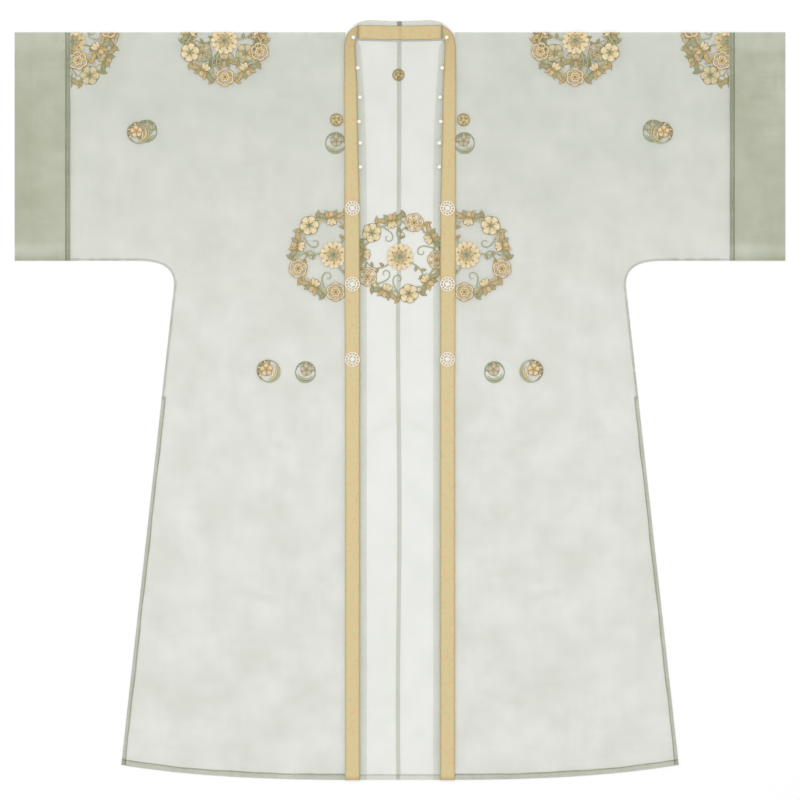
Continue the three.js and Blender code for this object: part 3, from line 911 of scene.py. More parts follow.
@dataclass
class BodyHalf:
    """Front, sleeve and back of one side: one width of organza folded at the shoulder."""

    cut: Cut
    drape: Drape
    side: str
    thickness: float = 0.24
    row: float = 8.0
    columns: int = 44
    skirt_rows: int = 96
    sleeve_columns: int = 13
    curve_columns: int = 9
    centre_columns: int = 11
    fold_radius: float = 1.15
    tuck: float = 3.0
    centre_gap: float = 0.15
    # The half's cut: centre back to cuff seam, and back hem over the shoulder to front hem.
    flat: tuple[float, float] = (0.5104, 2.3176)
    area: float = 0.905

    def top_rows(self) -> np.ndarray:
        """Gives the drops of the rows above the underarm."""
        count = round(self.cut.underarm[1] / self.row)
        rows = np.linspace(0, self.cut.underarm[1], count + 1)
        rows[0] = self.fold_radius
        return rows

    def torso(self, layer: Layer) -> tuple[np.ndarray, np.ndarray]:
        """Gives x and drop of the grid from the collar or centre patch out to the side."""
        share = np.linspace(0, 1, self.columns + 1)[None, :]
        top = self.top_rows()[:, None]
        inner = self.inner_edge(layer, top)
        x_top = inner + (self.cut.underarm[0] - inner) * share
        down = np.linspace(0, 1, self.skirt_rows + 1)[1:, None]
        reach = self.cut.underarm[1] + down * (self.cut.corner[1] - self.cut.underarm[1])
        inner = self.inner_edge(layer, reach)
        x_low = inner + (self.cut.side(reach) - inner) * share
        bottom_inner = self.inner_edge(layer, np.asarray(self.cut.hem_drop))
        bottom = self.cut.hem(bottom_inner + (self.cut.corner[0] - bottom_inner) * share)
        drop_low = self.cut.underarm[1] + down * (bottom - self.cut.underarm[1])
        drop_top = np.broadcast_to(top, x_top.shape)
        return np.concatenate([x_top, x_low]), np.concatenate([drop_top, drop_low])

    def inner_edge(self, layer: Layer, drop: np.ndarray) -> np.ndarray:
        """Gives where the torso grid starts: tucked into the band, or at the neck seam."""
        if layer is Layer.BACK:
            return np.full(np.shape(drop), self.cut.neck_seam)
        tucked = self.cut.edge(Edge.SEAM, drop) - self.tuck
        return np.where(drop < self.cut.collar_start, self.cut.neck_seam, tucked)

    def sleeve(self) -> tuple[np.ndarray, np.ndarray]:
        """Gives x and drop of the grid from the side line out to the cuff."""
        curve = self.cut.underarm_curve(self.curve_columns)[::-1]
        begin, end = self.cut.underarm_start, self.cut.sleeve_end
        rest = np.linspace(begin, end, self.sleeve_columns)[1:]
        x = np.concatenate([curve[:, 0], rest])[None, :]
        level = np.full(len(rest), self.cut.sleeve_drop)
        bottom = np.concatenate([curve[:, 1], level])[None, :]
        share = self.top_rows()[:, None] / self.cut.underarm[1]
        drop = np.maximum(bottom * share, self.fold_radius)
        return np.broadcast_to(x, drop.shape), drop

    def centre_back(self) -> tuple[np.ndarray, np.ndarray]:
        """Gives x and drop of the grid from the centre back to the neck seam."""
        x = np.linspace(self.centre_gap, self.cut.neck_seam, self.centre_columns)[None, :]
        rows = [r for r in self.top_rows() if r > self.cut.neck_cut + 2]
        neck = self.cut.neck_cut - 2 + self.cut.sag(x)
        below = np.broadcast_to(np.array(rows)[:, None], (len(rows), x.size))
        top = np.concatenate([neck, below])
        down = np.linspace(0, 1, self.skirt_rows + 1)[1:, None]
        low = self.cut.underarm[1] + down * (self.cut.hem(x) - self.cut.underarm[1])
        drop = np.concatenate([top, low])
        return np.broadcast_to(x, drop.shape), drop

    def add_layer(self, cloth: Fabric, layer: Layer, x: np.ndarray, drop: np.ndarray) -> None:
        """Adds one grid of a layer to the cloth."""
        x = SIDES[self.side] * x
        z = self.drape.height(layer, x, drop)
        cloth.grid(self.cut.points(x, drop, z), fold=self.drape.fold(layer, x, drop))

    def add_shoulder(self, cloth: Fabric, x: np.ndarray) -> None:
        """Adds the half-round fold over the shoulder.

        Args:
            cloth: the mesh that takes it.
            x: the columns of the rows that it joins.
        """
        x = SIDES[self.side] * x[0]
        edge = np.full(x.shape, self.fold_radius)
        back = self.drape.height(Layer.BACK, x, edge)
        front = self.drape.height(Layer.FRONT, x, edge)
        turn = np.linspace(-math.pi / 2, math.pi / 2, 7)[:, None]
        z = (back + front) / 2 + (front - back) / 2 * np.sin(turn)
        drop = self.fold_radius * (1 - np.cos(turn)) * np.ones(x.shape)
        dense = np.full(z.shape, self.drape.top_density)
        cloth.grid(self.cut.points(x[None, :], drop, z), fold=dense)

    def build(self) -> bpy.types.Object:
        """Builds the half.

        Returns:
            The sheet, which stands for its CAD body.
        """
        cloth = Fabric()
        sleeve = self.sleeve()
        for layer in Layer:
            self.add_layer(cloth, layer, *self.torso(layer))
            self.add_layer(cloth, layer, *sleeve)
        self.add_layer(cloth, Layer.BACK, *self.centre_back())
        self.add_shoulder(cloth, self.torso(Layer.BACK)[0])
        self.add_shoulder(cloth, sleeve[0])
        mesh = cloth.mesh(f"panel_{self.side}", weld=0.05)
        return place(
            f"panel_{self.side}",
            mesh,
            [PANEL_ORGANZA],
            "organza_panel",
            [f"body_{self.side}"],
            self.thickness,
        )


@dataclass
class Seams:
    """Turned hems, slit hems and seam allowances of one side, as narrow doubled strips."""

    cut: Cut
    drape: Drape
    side: str
    hem_width: float = 9.3
    slit_width: float = 6.6
    side_width: float = 3.6
    tucked: float = 2.2
    lift: float = 0.42
    thickness: float = 0.3
    step: float = 9.0

    def strip(
        self,
        cloth: Fabric,
        layer: Layer,
        outer: np.ndarray,
        inner: np.ndarray,
        fold: float = 0.0,
        lift: float | None = None,
    ) -> None:
        """Adds a strip between two lines that follows a layer.

        Args:
            cloth: the mesh that takes it.
            layer: the layer that it is turned on.
            outer: points of its outer edge, as (x, drop).
            inner: points of its inner edge.
            fold: how much denser it looks.
            lift: its height over the layer, towards the other layer.
        """
        share = np.linspace(0, 1, 4)[None, :, None]
        plan = outer[:, None, :] * (1 - share) + inner[:, None, :] * share
        x, drop = SIDES[self.side] * plan[..., 0], plan[..., 1]
        away = self.lift if lift is None else lift
        towards = away if layer is Layer.BACK else -away
        z = self.drape.height(layer, x, drop) + towards
        cloth.grid(self.cut.points(x, drop, z), fold=np.full(x.shape, fold))

    def hem_lines(self, layer: Layer) -> tuple[np.ndarray, np.ndarray]:
        """Gives the hem's outer and inner edge from the collar or centre back to the corner."""
        start = 0.3 if layer is Layer.BACK else float(self.cut.edge(Edge.SEAM, 1149)) - 1
        x = np.linspace(start, self.cut.corner[0] - 0.4, round((432 - start) / self.step))
        wobble = 0.35 * np.sin(x / 23) + 0.25 * np.sin(x / 9 + 1)
        outer = np.stack([x, self.cut.hem(x) - 0.15], axis=1)
        pulled = x - (x / 432) ** 8
        inner = np.stack([pulled, self.cut.hem(x) - self.hem_width + wobble], axis=1)
        return outer, inner

    def slit_lines(self) -> tuple[np.ndarray, np.ndarray]:
        """Gives the slit hem's outer and inner edge."""
        drop = np.linspace(self.cut.slit_drop - 6, self.cut.corner[1] - 0.5, 66)
        x = self.cut.side(drop)
        wobble = 0.4 * np.sin(drop / 27) + 0.3 * np.sin(drop / 11 + 2)
        return (
            np.stack([x - 0.15, drop], axis=1),
            np.stack([x - self.slit_width + wobble, drop + 0.4], axis=1),
        )

    def seam_lines(self) -> tuple[np.ndarray, np.ndarray]:
        """Gives the closed seam's outer and inner edge, from the sleeve's end to the slit."""
        line = self.cut.seam_line()
        steps = run_along(line)
        at = np.linspace(0, steps[-1], 60)
        path = np.stack([np.interp(at, steps, line[:, k]) for k in (0, 1)], axis=1)
        along = np.gradient(path, axis=0)
        along /= np.linalg.norm(along, axis=1)[:, None]
        inward = np.stack([along[:, 1], -along[:, 0]], axis=1)
        return path - 0.1 * along, path - self.side_width * inward

    def build(self) -> list[bpy.types.Object]:
        """Builds the strips.

        Returns:
            The hems of both layers and the closed side seam.
        """
        made = []
        for layer in Layer:
            cloth = Fabric()
            outer, inner = self.hem_lines(layer)
            self.strip(cloth, layer, outer, inner, 0.2)
            crest = inner + (outer - inner) * self.tucked / self.hem_width
            self.strip(cloth, layer, crest, inner, 0.8, 2 * self.lift)
            outer, inner = self.slit_lines()
            self.strip(cloth, layer, outer, inner, 0.35)
            crest = inner + (outer - inner) * self.tucked / self.slit_width
            self.strip(cloth, layer, crest, inner, 0.5, 2 * self.lift)
            made.append(self.piece(f"hem_{layer.value}_{self.side}", cloth))
        cloth = Fabric()
        outer, inner = self.seam_lines()
        self.strip(cloth, Layer.BACK, outer, inner, 0.9, 0.3)
        made.append(self.piece(f"side_seam_{self.side}", cloth))
        return made

    def piece(self, name: str, cloth: Fabric) -> bpy.types.Object:
        """Places one strip."""
        mesh = cloth.mesh(name)
        return place(name, mesh, [HEM_ORGANZA], "organza_panel", (), self.thickness)


@dataclass
class CentreSeam:
    """The pressed seam allowance down the centre back."""

    cut: Cut
    drape: Drape
    width: float = 6.6
    thickness: float = 0.3
    lift: float = 0.45
    # The allowance is pressed to the wearer's right.
    pressed: float = -1.2

    def build(self) -> bpy.types.Object:
        """Builds the strip, denser towards the neck."""
        drop = np.linspace(self.cut.neck_cut + 1, self.cut.hem_drop - 0.3, 130)[:, None]
        sway = 1.1 * smooth((drop - 380) / 60) * np.sin(drop / 95) - 1.2 * smooth(drop / 500)
        sway = sway + self.pressed + 0.3 * smooth(drop / 500)
        x = sway + self.width * np.linspace(-0.5, 0.5, 4)[None, :]
        z = self.drape.height(Layer.BACK, x, drop) + self.lift
        cloth = Fabric()
        dense = np.broadcast_to(1.38 - 0.14 * smooth(drop / 420), x.shape)
        cloth.grid(self.cut.points(x, drop, z), fold=dense)
        mesh = cloth.mesh("centre_seam")
        return place("centre_seam", mesh, [HEM_ORGANZA], "organza_panel", (), self.thickness)


@dataclass
class Cuff:
    """A wide cuff of doubled organza, a flattened tube sewn to the sleeve's end."""

    cut: Cut
    side: str
    levels: tuple[float, float] = (0.45, 3.3)
    gap: float = 0.3
    fold_radius: float = 1.5
    columns: int = 12
    rows: int = 64
    thickness: float = 0.5
    seam_width: float = 7.8
    line_width: float = 1.7
    flat: tuple[float, float] = (0.0866, 0.708)

    def ring(self, inset: float = 0.0) -> tuple[np.ndarray, np.ndarray]:
        """Gives drop and height round the tube.

        Args:
            inset: how far outside the cloth's own middle the ring runs.

        Returns:
            Drops and heights of the ring's points.
        """
        low, high = self.levels[0] - inset, self.levels[1] + inset
        middle, radius = (low + high) / 2, self.fold_radius
        turn = np.linspace(-math.pi / 2, math.pi / 2, 7)
        walls = np.linspace(radius, self.cut.sleeve_drop - radius, self.rows)
        top = (radius * (1 - np.cos(turn)), middle + (high - low) / 2 * np.sin(turn))
        bottom = (self.cut.sleeve_drop - top[0][::-1], top[1][::-1])
        drop = np.concatenate([top[0], walls[1:-1], bottom[0], walls[-2:0:-1]])
        z = np.concatenate([top[1], walls[1:-1] * 0 + high, bottom[1], walls[1:-1] * 0 + low])
        return drop, z

    def build(self) -> list[bpy.types.Object]:
        """Builds the cuff and the seam allowance beside the sleeve.

        Returns:
            The cuff and its allowance.
        """
        sign = SIDES[self.side]
        drop, z = self.ring()
        inner = self.cut.sleeve_end + self.gap
        x = np.linspace(inner, self.cut.half_span - self.thickness / 2, self.columns)[:, None]
        swell = 0.12 * np.sin(drop / 41 + x / 23) * np.sign(z - np.mean(self.levels))
        inside = np.minimum(drop, self.cut.sleeve_drop - drop) > 2 * self.fold_radius
        cloth = Fabric()
        rise = self.cut.sleeve_drop - drop
        dense = 0.03 - 0.17 * (1 - smooth((drop - 20) / 18))
        dense = dense - 0.2 * np.exp(-(((rise - 17) / 10) ** 2))
        dense = dense + 0.3 * np.exp(-((rise / 3) ** 2))
        cloth.grid(
            self.cut.points(sign * x, drop, z + np.where(inside, swell, 0)),
            fold=np.broadcast_to(dense, (self.columns, drop.size)),
            ring=True,
        )
        name = f"cuff_cloth_{self.side}"
        cuff = place(
            name,
            cloth.mesh(name, weld=0.01),
            [CUFF_ORGANZA],
            "organza_doubled",
            [f"cuff_{self.side}"],
            self.thickness,
        )
        strip = Fabric()
        end = inner + self.seam_width
        rings = ((inner, 0.45, -0.1), (end - self.line_width, 0.85, 0.9))
        for start, lift, dense in rings:
            drop, z = self.ring(lift)
            across = np.linspace(start, end, 3)[:, None]
            points = self.cut.points(sign * across, drop, z + 0 * across)
            strip.grid(points, fold=np.full((3, drop.size), dense), ring=True)
        name = f"cuff_seam_{self.side}"
        seam = place(name, strip.mesh(name), [SEAM_ORGANZA], "organza_doubled", (), 0.3)
        return [cuff, seam]


# ---- Collar -------------------------------------------------------------------------------


@dataclass
class Collar:
    """The organza band round the front and neck, with a narrower jacquard ribbon on it."""

    cut: Cut
    band_levels: tuple[float, float] = (2.5, 3.35)
    ribbon_levels: tuple[float, float] = (3.6, 4.15)
    fall: float = 2.25
    turn: float = 16.0
    step: float = 8.0
    overlap: float = 0.8
    neck_band_foot: float = 13.0
    neck_ribbon: tuple[float, float] = (-11.5, 10.2)
    band_corner: tuple = ((84.3, 2), (80.5, -3), (72.3, -12.3), (66.3, -14.6))
    ribbon_corner: tuple = ((84.3, 12), (84.3, 1), (74, -6), (66.3, -10.5))
    band_foot: tuple[float, float] = (66.3, 13.3)
    ribbon_foot: tuple[float, float] = (66.3, 1.0)
    band_thickness: float = 0.24
    # The rows of stitches: where they run, and how far in from the ribbon's edges.
    stitch_run: tuple[float, float] = (24.0, 1147.0)
    stitch_inset: float = 1.3
    tab: tuple[float, float] = (-4.4, 2.8)
    tab_density: float = 3.2
    # The flat cuts, width by length in metres.
    band_flat: tuple[float, float] = (0.066, 1.175)
    ribbon_flat: tuple[float, float] = (0.0225, 1.175)
    neck_band_flat: tuple[float, float] = (0.064, 0.132)
    neck_ribbon_flat: tuple[float, float] = (0.0217, 0.132)

    def lowered(self, drop: np.ndarray) -> np.ndarray:
        """Gives how far the collar has come down from the front to the back layer."""
        return self.fall * np.clip((self.turn - drop) / self.turn, 0, 1)

    def front_lines(
        self, edge: Edge, corner: tuple, foot: tuple
    ) -> tuple[np.ndarray, np.ndarray]:
        """Gives the outer and inner line of a strip from the hem up and round the corner.

        Args:
            edge: its inner edge.
            corner: the curve that its outer edge takes at the neck.
            foot: where its inner edge ends.

        Returns:
            The two lines, with the same number of points, as (x, drop).
        """
        top = self.cut.collar_start
        bottom = self.cut.hem(np.array(68.0)) - 0.2
        rows = np.linspace(bottom, top, round(float(bottom - top) / self.step))
        over = self.overlap if edge is Edge.RIBBON else 0.0
        outer = np.stack([self.cut.edge(Edge.SEAM, rows) + over, rows], axis=1)
        inner = np.stack([self.cut.edge(edge, rows), rows], axis=1)
        outer[:, 0] -= over * smooth((120 - rows) / 100)
        bend = np.concatenate([[(84.9, self.turn)], bezier(corner, 14)])
        start = np.array([float(self.cut.edge(edge, top)), top])
        share = np.linspace(0, 1, len(bend) + 1)[1:, None]
        foot_line = start + (np.asarray(foot) - start) * share
        return np.concatenate([outer, bend]), np.concatenate([inner, foot_line])

    def tube(
        self,
        outer: np.ndarray,
        inner: np.ndarray,
        levels: tuple[float, float],
        share: np.ndarray,
        sign: int,
        neck: bool,
    ) -> tuple[np.ndarray, np.ndarray, np.ndarray]:
        """Gives the points of a flat strip folded round its inner edge.

        Args:
            outer: its open edge, as (x, drop).
            inner: its folded edge.
            levels: heights of its lower and upper cloth.
            share: where its columns lie, from 0 at the open edge to 1 at the fold.
            sign: the side of the robe.
            neck: whether it lies at the level of the back of the neck.

        Returns:
            Points, uv in millimetres, and nearness to an edge.
        """
        across = len(share)
        rim = np.array([1.006, 1.012, 1.006])
        path = np.concatenate([share, rim, share[::-1]])[None, :, None]
        plan = outer[:, None, :] * (1 - path) + inner[:, None, :] * path
        low, high = levels
        middle = np.array([low + (high - low) * k for k in (0.2, 0.5, 0.8)])
        z = np.concatenate([np.full(across, low), middle, np.full(across, high)])[None, :]
        drop = plan[..., 1]
        down = self.fall if neck else self.lowered(drop)
        points = self.cut.points(sign * plan[..., 0], drop, z - down)
        along = run_along((outer + inner) / 2)[:, None] * np.ones(plan.shape[1])
        width = np.linalg.norm(outer - inner, axis=1)[:, None]
        over = width * path[..., 0]
        near = np.minimum(over, np.abs(width - over))
        return points, np.stack([over, along], axis=-1), np.exp(-((near / 0.9) ** 2))

    def band(self, name: str, lines: tuple, sign: int, neck: bool) -> bpy.types.Object:
        """Builds one length of the organza band."""
        share = np.array([0, 0.3, 0.55, 0.66, 0.7, 0.76, 0.83, 0.91, 1.0])
        points, uv, _ = self.tube(*lines, self.band_levels, share, sign, neck)
        cloth = Fabric()
        # The front band is drawn denser beside the ribbon: partly the seam under its edge, partly
        # painted shadow of the ribbon.
        beside = np.array([0, 0, 0.6, 1, 1, 0.55, 0.25, 0.05, 0.0])
        beside = np.concatenate([beside, [0, 0, 0], beside[::-1]])
        dense = np.ones(uv.shape[:2]) * (1.0 if neck else 0.65 * beside)
        cloth.grid(points, fold=dense)
        mesh = cloth.mesh(name)
        node = name.replace("band_cloth", "band")
        return place(name, mesh, [BAND_ORGANZA], "organza_band", [node], self.band_thickness)

    def ribbon(self, name: str, lines: tuple, sign: int, neck: bool) -> bpy.types.Object:
        """Builds one length of ribbon, closed all round, with corded edges and painted shade."""
        share = np.array([0, 0.03, 0.07, 0.2, 0.4, 0.6, 0.8, 0.93, 0.97, 1.0])
        points, uv, near = self.tube(*lines, self.ribbon_levels, share, sign, neck)
        cloth = Fabric()
        top = uv[-1, 0, 1] - uv[..., 1]
        # Painted shade: the front ribbon is drawn darker towards its top at the neck, and the neck
        # ribbon evenly darker.
        painted_shade = 0.1
        if not neck:
            painted_shade = 0.18 * np.exp(-((top / 70) ** 2)) + 0.1 * (1 - smooth(top / 640))
        dark = 0.55 * near + painted_shade
        if neck:
            # Painted shadow where the neck ribbon folds under at its ends; it is also drawn darker
            # at its middle.
            ends = np.minimum(uv[..., 1], top)
            dark = np.maximum(dark, 0.75 * np.exp(-((ends / 4.0) ** 2)))
            dark += 0.22 * np.exp(-(((uv[..., 1] - top) / 4.4) ** 2))
        cloth.grid(points, uv=uv, edge=dark, ring=True, caps=True)
        mesh = cloth.mesh(name)
        node = name.replace("ribbon_silk", "ribbon")
        return place(name, mesh, [RIBBON_SILK], "jacquard_ribbon", [node])

    def neck_lines(self, kind: str) -> tuple[np.ndarray, np.ndarray]:
        """Gives the upper and lower line of a strip at the back of the neck, as (x, drop)."""
        x = np.linspace(-self.cut.neck_corner, self.cut.neck_corner, 61)
        sag = self.cut.sag(x)
        if kind == "ribbon":
            return np.stack([x, self.neck_ribbon[0] + sag], 1), np.stack(
                [x, self.neck_ribbon[1] + sag], 1
            )
        beyond = np.clip(np.abs(x) - self.cut.neck_flat, 0, None)
        beyond /= self.cut.neck_corner - self.cut.neck_flat
        dip = self.cut.neck_sag * np.clip(1 - (x / self.cut.neck_flat) ** 2, 0, 1)
        top = -self.cut.neck_top + dip + self.cut.corner_fall * beyond**2
        return np.stack([x, self.neck_band_foot + sag], 1), np.stack([x, top], 1)

    def neck_seam(self) -> bpy.types.Object:
        """Builds the turned ends of the neck band, which show as a tab above the ribbon."""
        left, right = self.tab
        x = np.linspace(left, right, 6)[None, :]
        top = -self.cut.neck_top + self.cut.neck_sag + 0.7
        drop = np.linspace(top, self.neck_ribbon[0] + self.cut.neck_sag + 1.0, 6)[:, None]
        level = self.band_levels[1] - self.fall + 0.3
        cloth = Fabric()
        ends = np.exp(-(((x - left) / 1.2) ** 2)) + np.exp(-(((x - right) / 1.2) ** 2))
        dense = self.tab_density * (1 + 0.15 * ends) * np.ones(drop.shape)
        cloth.grid(self.cut.points(x, drop, level), fold=dense)
        mesh = cloth.mesh("band_seam_neck")
        return place("band_seam_neck", mesh, [SEAM_ORGANZA], "organza_band", (), 0.3)

    def stitches(self, side: str) -> bpy.types.Object:
        """Builds the two rows of stitches that hold one side's ribbon down."""
        drop = np.linspace(*self.stitch_run, 260)
        cloth = Fabric()
        for edge, inside in ((Edge.SEAM, -self.stitch_inset), (Edge.RIBBON, self.stitch_inset)):
            x = SIDES[side] * (self.cut.edge(edge, drop) + inside)
            StitchRow().add(cloth, self.cut.points(x, drop, self.ribbon_levels[1] + 0.05))
        name = f"ribbon_stitches_{side}"
        return place(name, cloth.mesh(name), [GOLD_COTTON], "jacquard_ribbon")

    def build(self) -> dict[str, bpy.types.Object]:
        """Builds the three lengths of band and of ribbon.

        Returns:
            The pieces by name.
        """
        made = {}
        for side, sign in SIDES.items():
            lines = self.front_lines(Edge.FREE, self.band_corner, self.band_foot)
            made[f"band_{side}"] = self.band(f"band_cloth_{side}", lines, sign, False)
            lines = self.front_lines(Edge.RIBBON, self.ribbon_corner, self.ribbon_foot)
            made[f"ribbon_{side}"] = self.ribbon(f"ribbon_silk_{side}", lines, sign, False)
            made[f"stitches_{side}"] = self.stitches(side)
        lines = self.neck_lines("band")
        made["band_neck"] = self.band("band_cloth_neck", lines, 1, True)
        lines = self.neck_lines("ribbon")
        made["ribbon_neck"] = self.ribbon("ribbon_silk_neck", lines, 1, True)
        made["seam_neck"] = self.neck_seam()
        return made


# ---- Pearls, clasps and stitches ----------------------------------------------------------


def ball(
    cloth: Fabric, centre: Sequence[float], radius: float, sides: int, finish: int = 0
) -> None:
    """Adds a ball with its poles up and down.

    Args:
        cloth: the mesh that takes it.
        centre: its centre.
        radius: its radius.
        sides: how many sides it has round its middle.
        finish: the material's place.
    """
    turn = np.linspace(-math.pi / 2 * 0.94, math.pi / 2 * 0.94, max(4, sides // 2))[:, None]
    round_it = np.linspace(0, 2 * math.pi, sides, endpoint=False)[None, :]
    points = np.stack(
        [
            centre[0] + radius * np.cos(turn) * np.cos(round_it),
            centre[1] + radius * np.cos(turn) * np.sin(round_it),
            centre[2] + radius * np.sin(turn) * np.ones(round_it.shape),
        ],
        axis=-1,
    )
    cloth.grid(points, finish=finish, ring=True, caps=True)


def rope(
    cloth: Fabric, path: np.ndarray, radius: float, sides: int, closed: bool, finish: int = 0
) -> None:
    """Adds a round cord along a path in space.

    Args:
        cloth: the mesh that takes it.
        path: its points, one a row.
        radius: its radius.
        sides: how many sides it has.
        closed: whether its ends meet.
        finish: the material's place.
    """
    ends = np.concatenate([path[-1:], path, path[:1]]) if closed else None
    along = (ends[2:] - ends[:-2]) if closed else np.gradient(path, axis=0)
    along /= np.linalg.norm(along, axis=1)[:, None]
    up = np.array([0.0, 0.0, 1.0])
    flat = np.abs(along @ up) > 0.95
    guide = np.where(flat[:, None], np.array([1.0, 0.0, 0.0]), up)
    beside = np.cross(along, guide)
    beside /= np.linalg.norm(beside, axis=1)[:, None]
    above = np.cross(beside, along)
    turn = np.linspace(0, 2 * math.pi, sides, endpoint=False)[None, :, None]
    rings = path[:, None, :] + radius * (
        np.cos(turn) * beside[:, None, :] + np.sin(turn) * above[:, None, :]
    )
    if closed:
        rings = np.concatenate([rings, rings[:1]])
    cloth.grid(rings, finish=finish, ring=True, caps=not closed)


@dataclass
class Pearls:
    """The six pearls of one side, each tied down by a loop of thread."""

    side: str
    count: int = 6
    sides: int = 28
    thread: float = 0.28

    def build(self) -> list[bpy.types.Object]:
        """Builds each pearl where its CAD node stands.

        Returns:
            The pearls.
        """
        made = []
        for i in range(1, self.count + 1):
            node = f"pearl_{self.side}_{i}"
            low, high = (np.array(corner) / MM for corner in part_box(node))
            centre, radius = (low + high) / 2, (high[0] - low[0]) / 2
            cloth = Fabric()
            ball(cloth, centre, radius, self.sides)
            turn = np.linspace(0, math.pi, 13)[:, None]
            over = np.concatenate(
                [np.cos(turn), 0 * turn, np.sin(turn) * 1.03 - 0.45], axis=1
            )
            loop = centre + over * np.array([0.5, 0, 1]) * radius
            rope(cloth, loop, self.thread, 6, False, 1)
            foot = np.array([[-1.6, 0, -1.08], [0, 0, -1.02], [1.6, 0, -1.08]]) * radius
            rope(cloth, centre + foot * np.array([0.6, 1, 1]), self.thread, 6, False, 1)
            name = f"pearl_bead_{self.side}_{i}"
            mesh = cloth.mesh(name)
            made.append(place(name, mesh, [PEARL_NACRE, COTTON_THREAD], "pearl", [node]))
        return made


@dataclass
class Clasp:
    """An openwork clasp disc: a ring of pierced cells, four spokes and a knop of pearls."""

    side: str
    number: int
    cells: int = 12
    hole_radius: float = 1.8
    hole_ring: float = 8.7
    inner_rim: float = 6.1
    thickness: float = 1.5
    spokes: int = 4
    spoke: float = 0.65
    hub_radius: float = 3.1
    knop: float = 1.9
    petals: int = 8
    petal: float = 0.95
    petal_ring: float = 2.6
    # A rib's section, from its outer edge to the hole: how far across, and its share of height.
    section: tuple[tuple[float, float], ...] = (
        (0.02, 0.0),
        (0.02, 0.55),
        (0.3, 0.95),
        (0.72, 1.0),
        (1.0, 0.7),
        (1.0, 0.0),
    )

    def cell(
        self, cloth: Fabric, centre: np.ndarray, start: float, end: float, rim: float
    ) -> None:
        """Adds one pierced cell of the ring.

        Args:
            cloth: the mesh that takes it.
            centre: the disc's centre, at its underside.
            start: the angle where the cell starts.
            end: the angle where it ends.
            rim: the disc's radius.
        """
        middle = (start + end) / 2
        hole = polar(self.hole_ring, middle)
        outline = []
        for share in np.linspace(0, 1, 7)[:-1]:
            a = start + (end - start) * share
            bulge = rim - 0.5 + 0.5 * math.sin(math.pi * share)
            outline.append(polar(bulge, a))
        for share in np.linspace(0, 1, 4)[:-1]:
            r = rim - 0.5 + (self.inner_rim - rim + 0.5) * share
            outline.append(polar(r, end))
        for share in np.linspace(0, 1, 5)[:-1]:
            a = end + (start - end) * share
            outline.append(polar(self.inner_rim, a))
        for share in np.linspace(0, 1, 4)[:-1]:
            r = self.inner_rim + (rim - 0.5 - self.inner_rim) * share
            outline.append(polar(r, start))
        outer = np.array(outline)
        away = outer - hole
        angle = np.arctan2(away[:, 1], away[:, 0])
        ring = hole + self.hole_radius * directions(angle)
        rows = []
        for share, rise in self.section:
            plan = outer + (ring - outer) * share
            height = np.full(len(plan), self.thickness * rise)
            rows.append(np.column_stack([plan, height]) + centre)
        rows.append(rows[0])
        cloth.grid(np.array(rows), ring=True)

    def build(self) -> bpy.types.Object:
        """Builds the disc where its CAD node stands."""
        node = f"clasp_{self.side}_{self.number}"
        low, high = (np.array(corner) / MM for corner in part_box(node))
        centre = np.array([*((low + high) / 2)[:2], low[2]])
        rim = (high[0] - low[0]) / 2
        step = 2 * math.pi / self.cells
        turn = 0.2 * self.number
        cloth = Fabric()
        for i in range(self.cells):
            self.cell(cloth, centre, turn + i * step, turn + (i + 1) * step, rim)
        for i in range(self.spokes):
            a = turn + 2 * math.pi * (i + 0.5) / self.spokes
            ways = np.array([self.hub_radius * 0.6, self.inner_rim + 0.5])[:, None]
            line = centre + ways * np.array([math.cos(a), math.sin(a), 0]) + (0, 0, 0.75)
            rope(cloth, line, self.spoke, 8, False)
        around = np.linspace(0, 2 * math.pi, 28, endpoint=False)
        for radius, z, cord in ((self.inner_rim, 1.0, 0.4), (self.hub_radius, 0.9, 0.75)):
            ring = np.stack(
                [radius * np.cos(around), radius * np.sin(around), z + 0 * around], axis=1
            )
            rope(cloth, centre + ring, cord, 8, True)
        tall = high[2] - low[2]
        ball(cloth, centre + (0, 0, tall - self.knop), self.knop, 20, 1)
        for i in range(self.petals):
            a = 2 * math.pi * i / self.petals
            ball(cloth, centre + (*polar(self.petal_ring, a), 1.6), self.petal, 12, 1)
        name = f"clasp_disc_{self.side}_{self.number}"
        mesh = cloth.mesh(name, weld=0.001)
        return place(name, mesh, [CLASP_ENAMEL, PEARL_NACRE], "clasp_white", [node])


@dataclass
class StitchRow:
    """Running stitches along a line, each a short pulled-down thread."""

    radius: float = 0.2
    length: float = 2.4
    pitch: float = 3.9

    def add(self, cloth: Fabric, path: np.ndarray) -> None:
        """Adds stitches along a path.

        Args:
            cloth: the mesh that takes them.
            path: points in space, one a row.
        """
        steps = run_along(path)
        for start in np.arange(1.0, steps[-1] - self.length, self.pitch):
            at = start + self.length * np.array([0, 0.5, 1])
            line = np.stack([np.interp(at, steps, path[:, k]) for k in range(3)], axis=1)
            line[:, 2] += np.array([-0.12, 0.1, -0.12])
            rope(cloth, line, self.radius, 4, False)


# ---- Embroidery ---------------------------------------------------------------------------


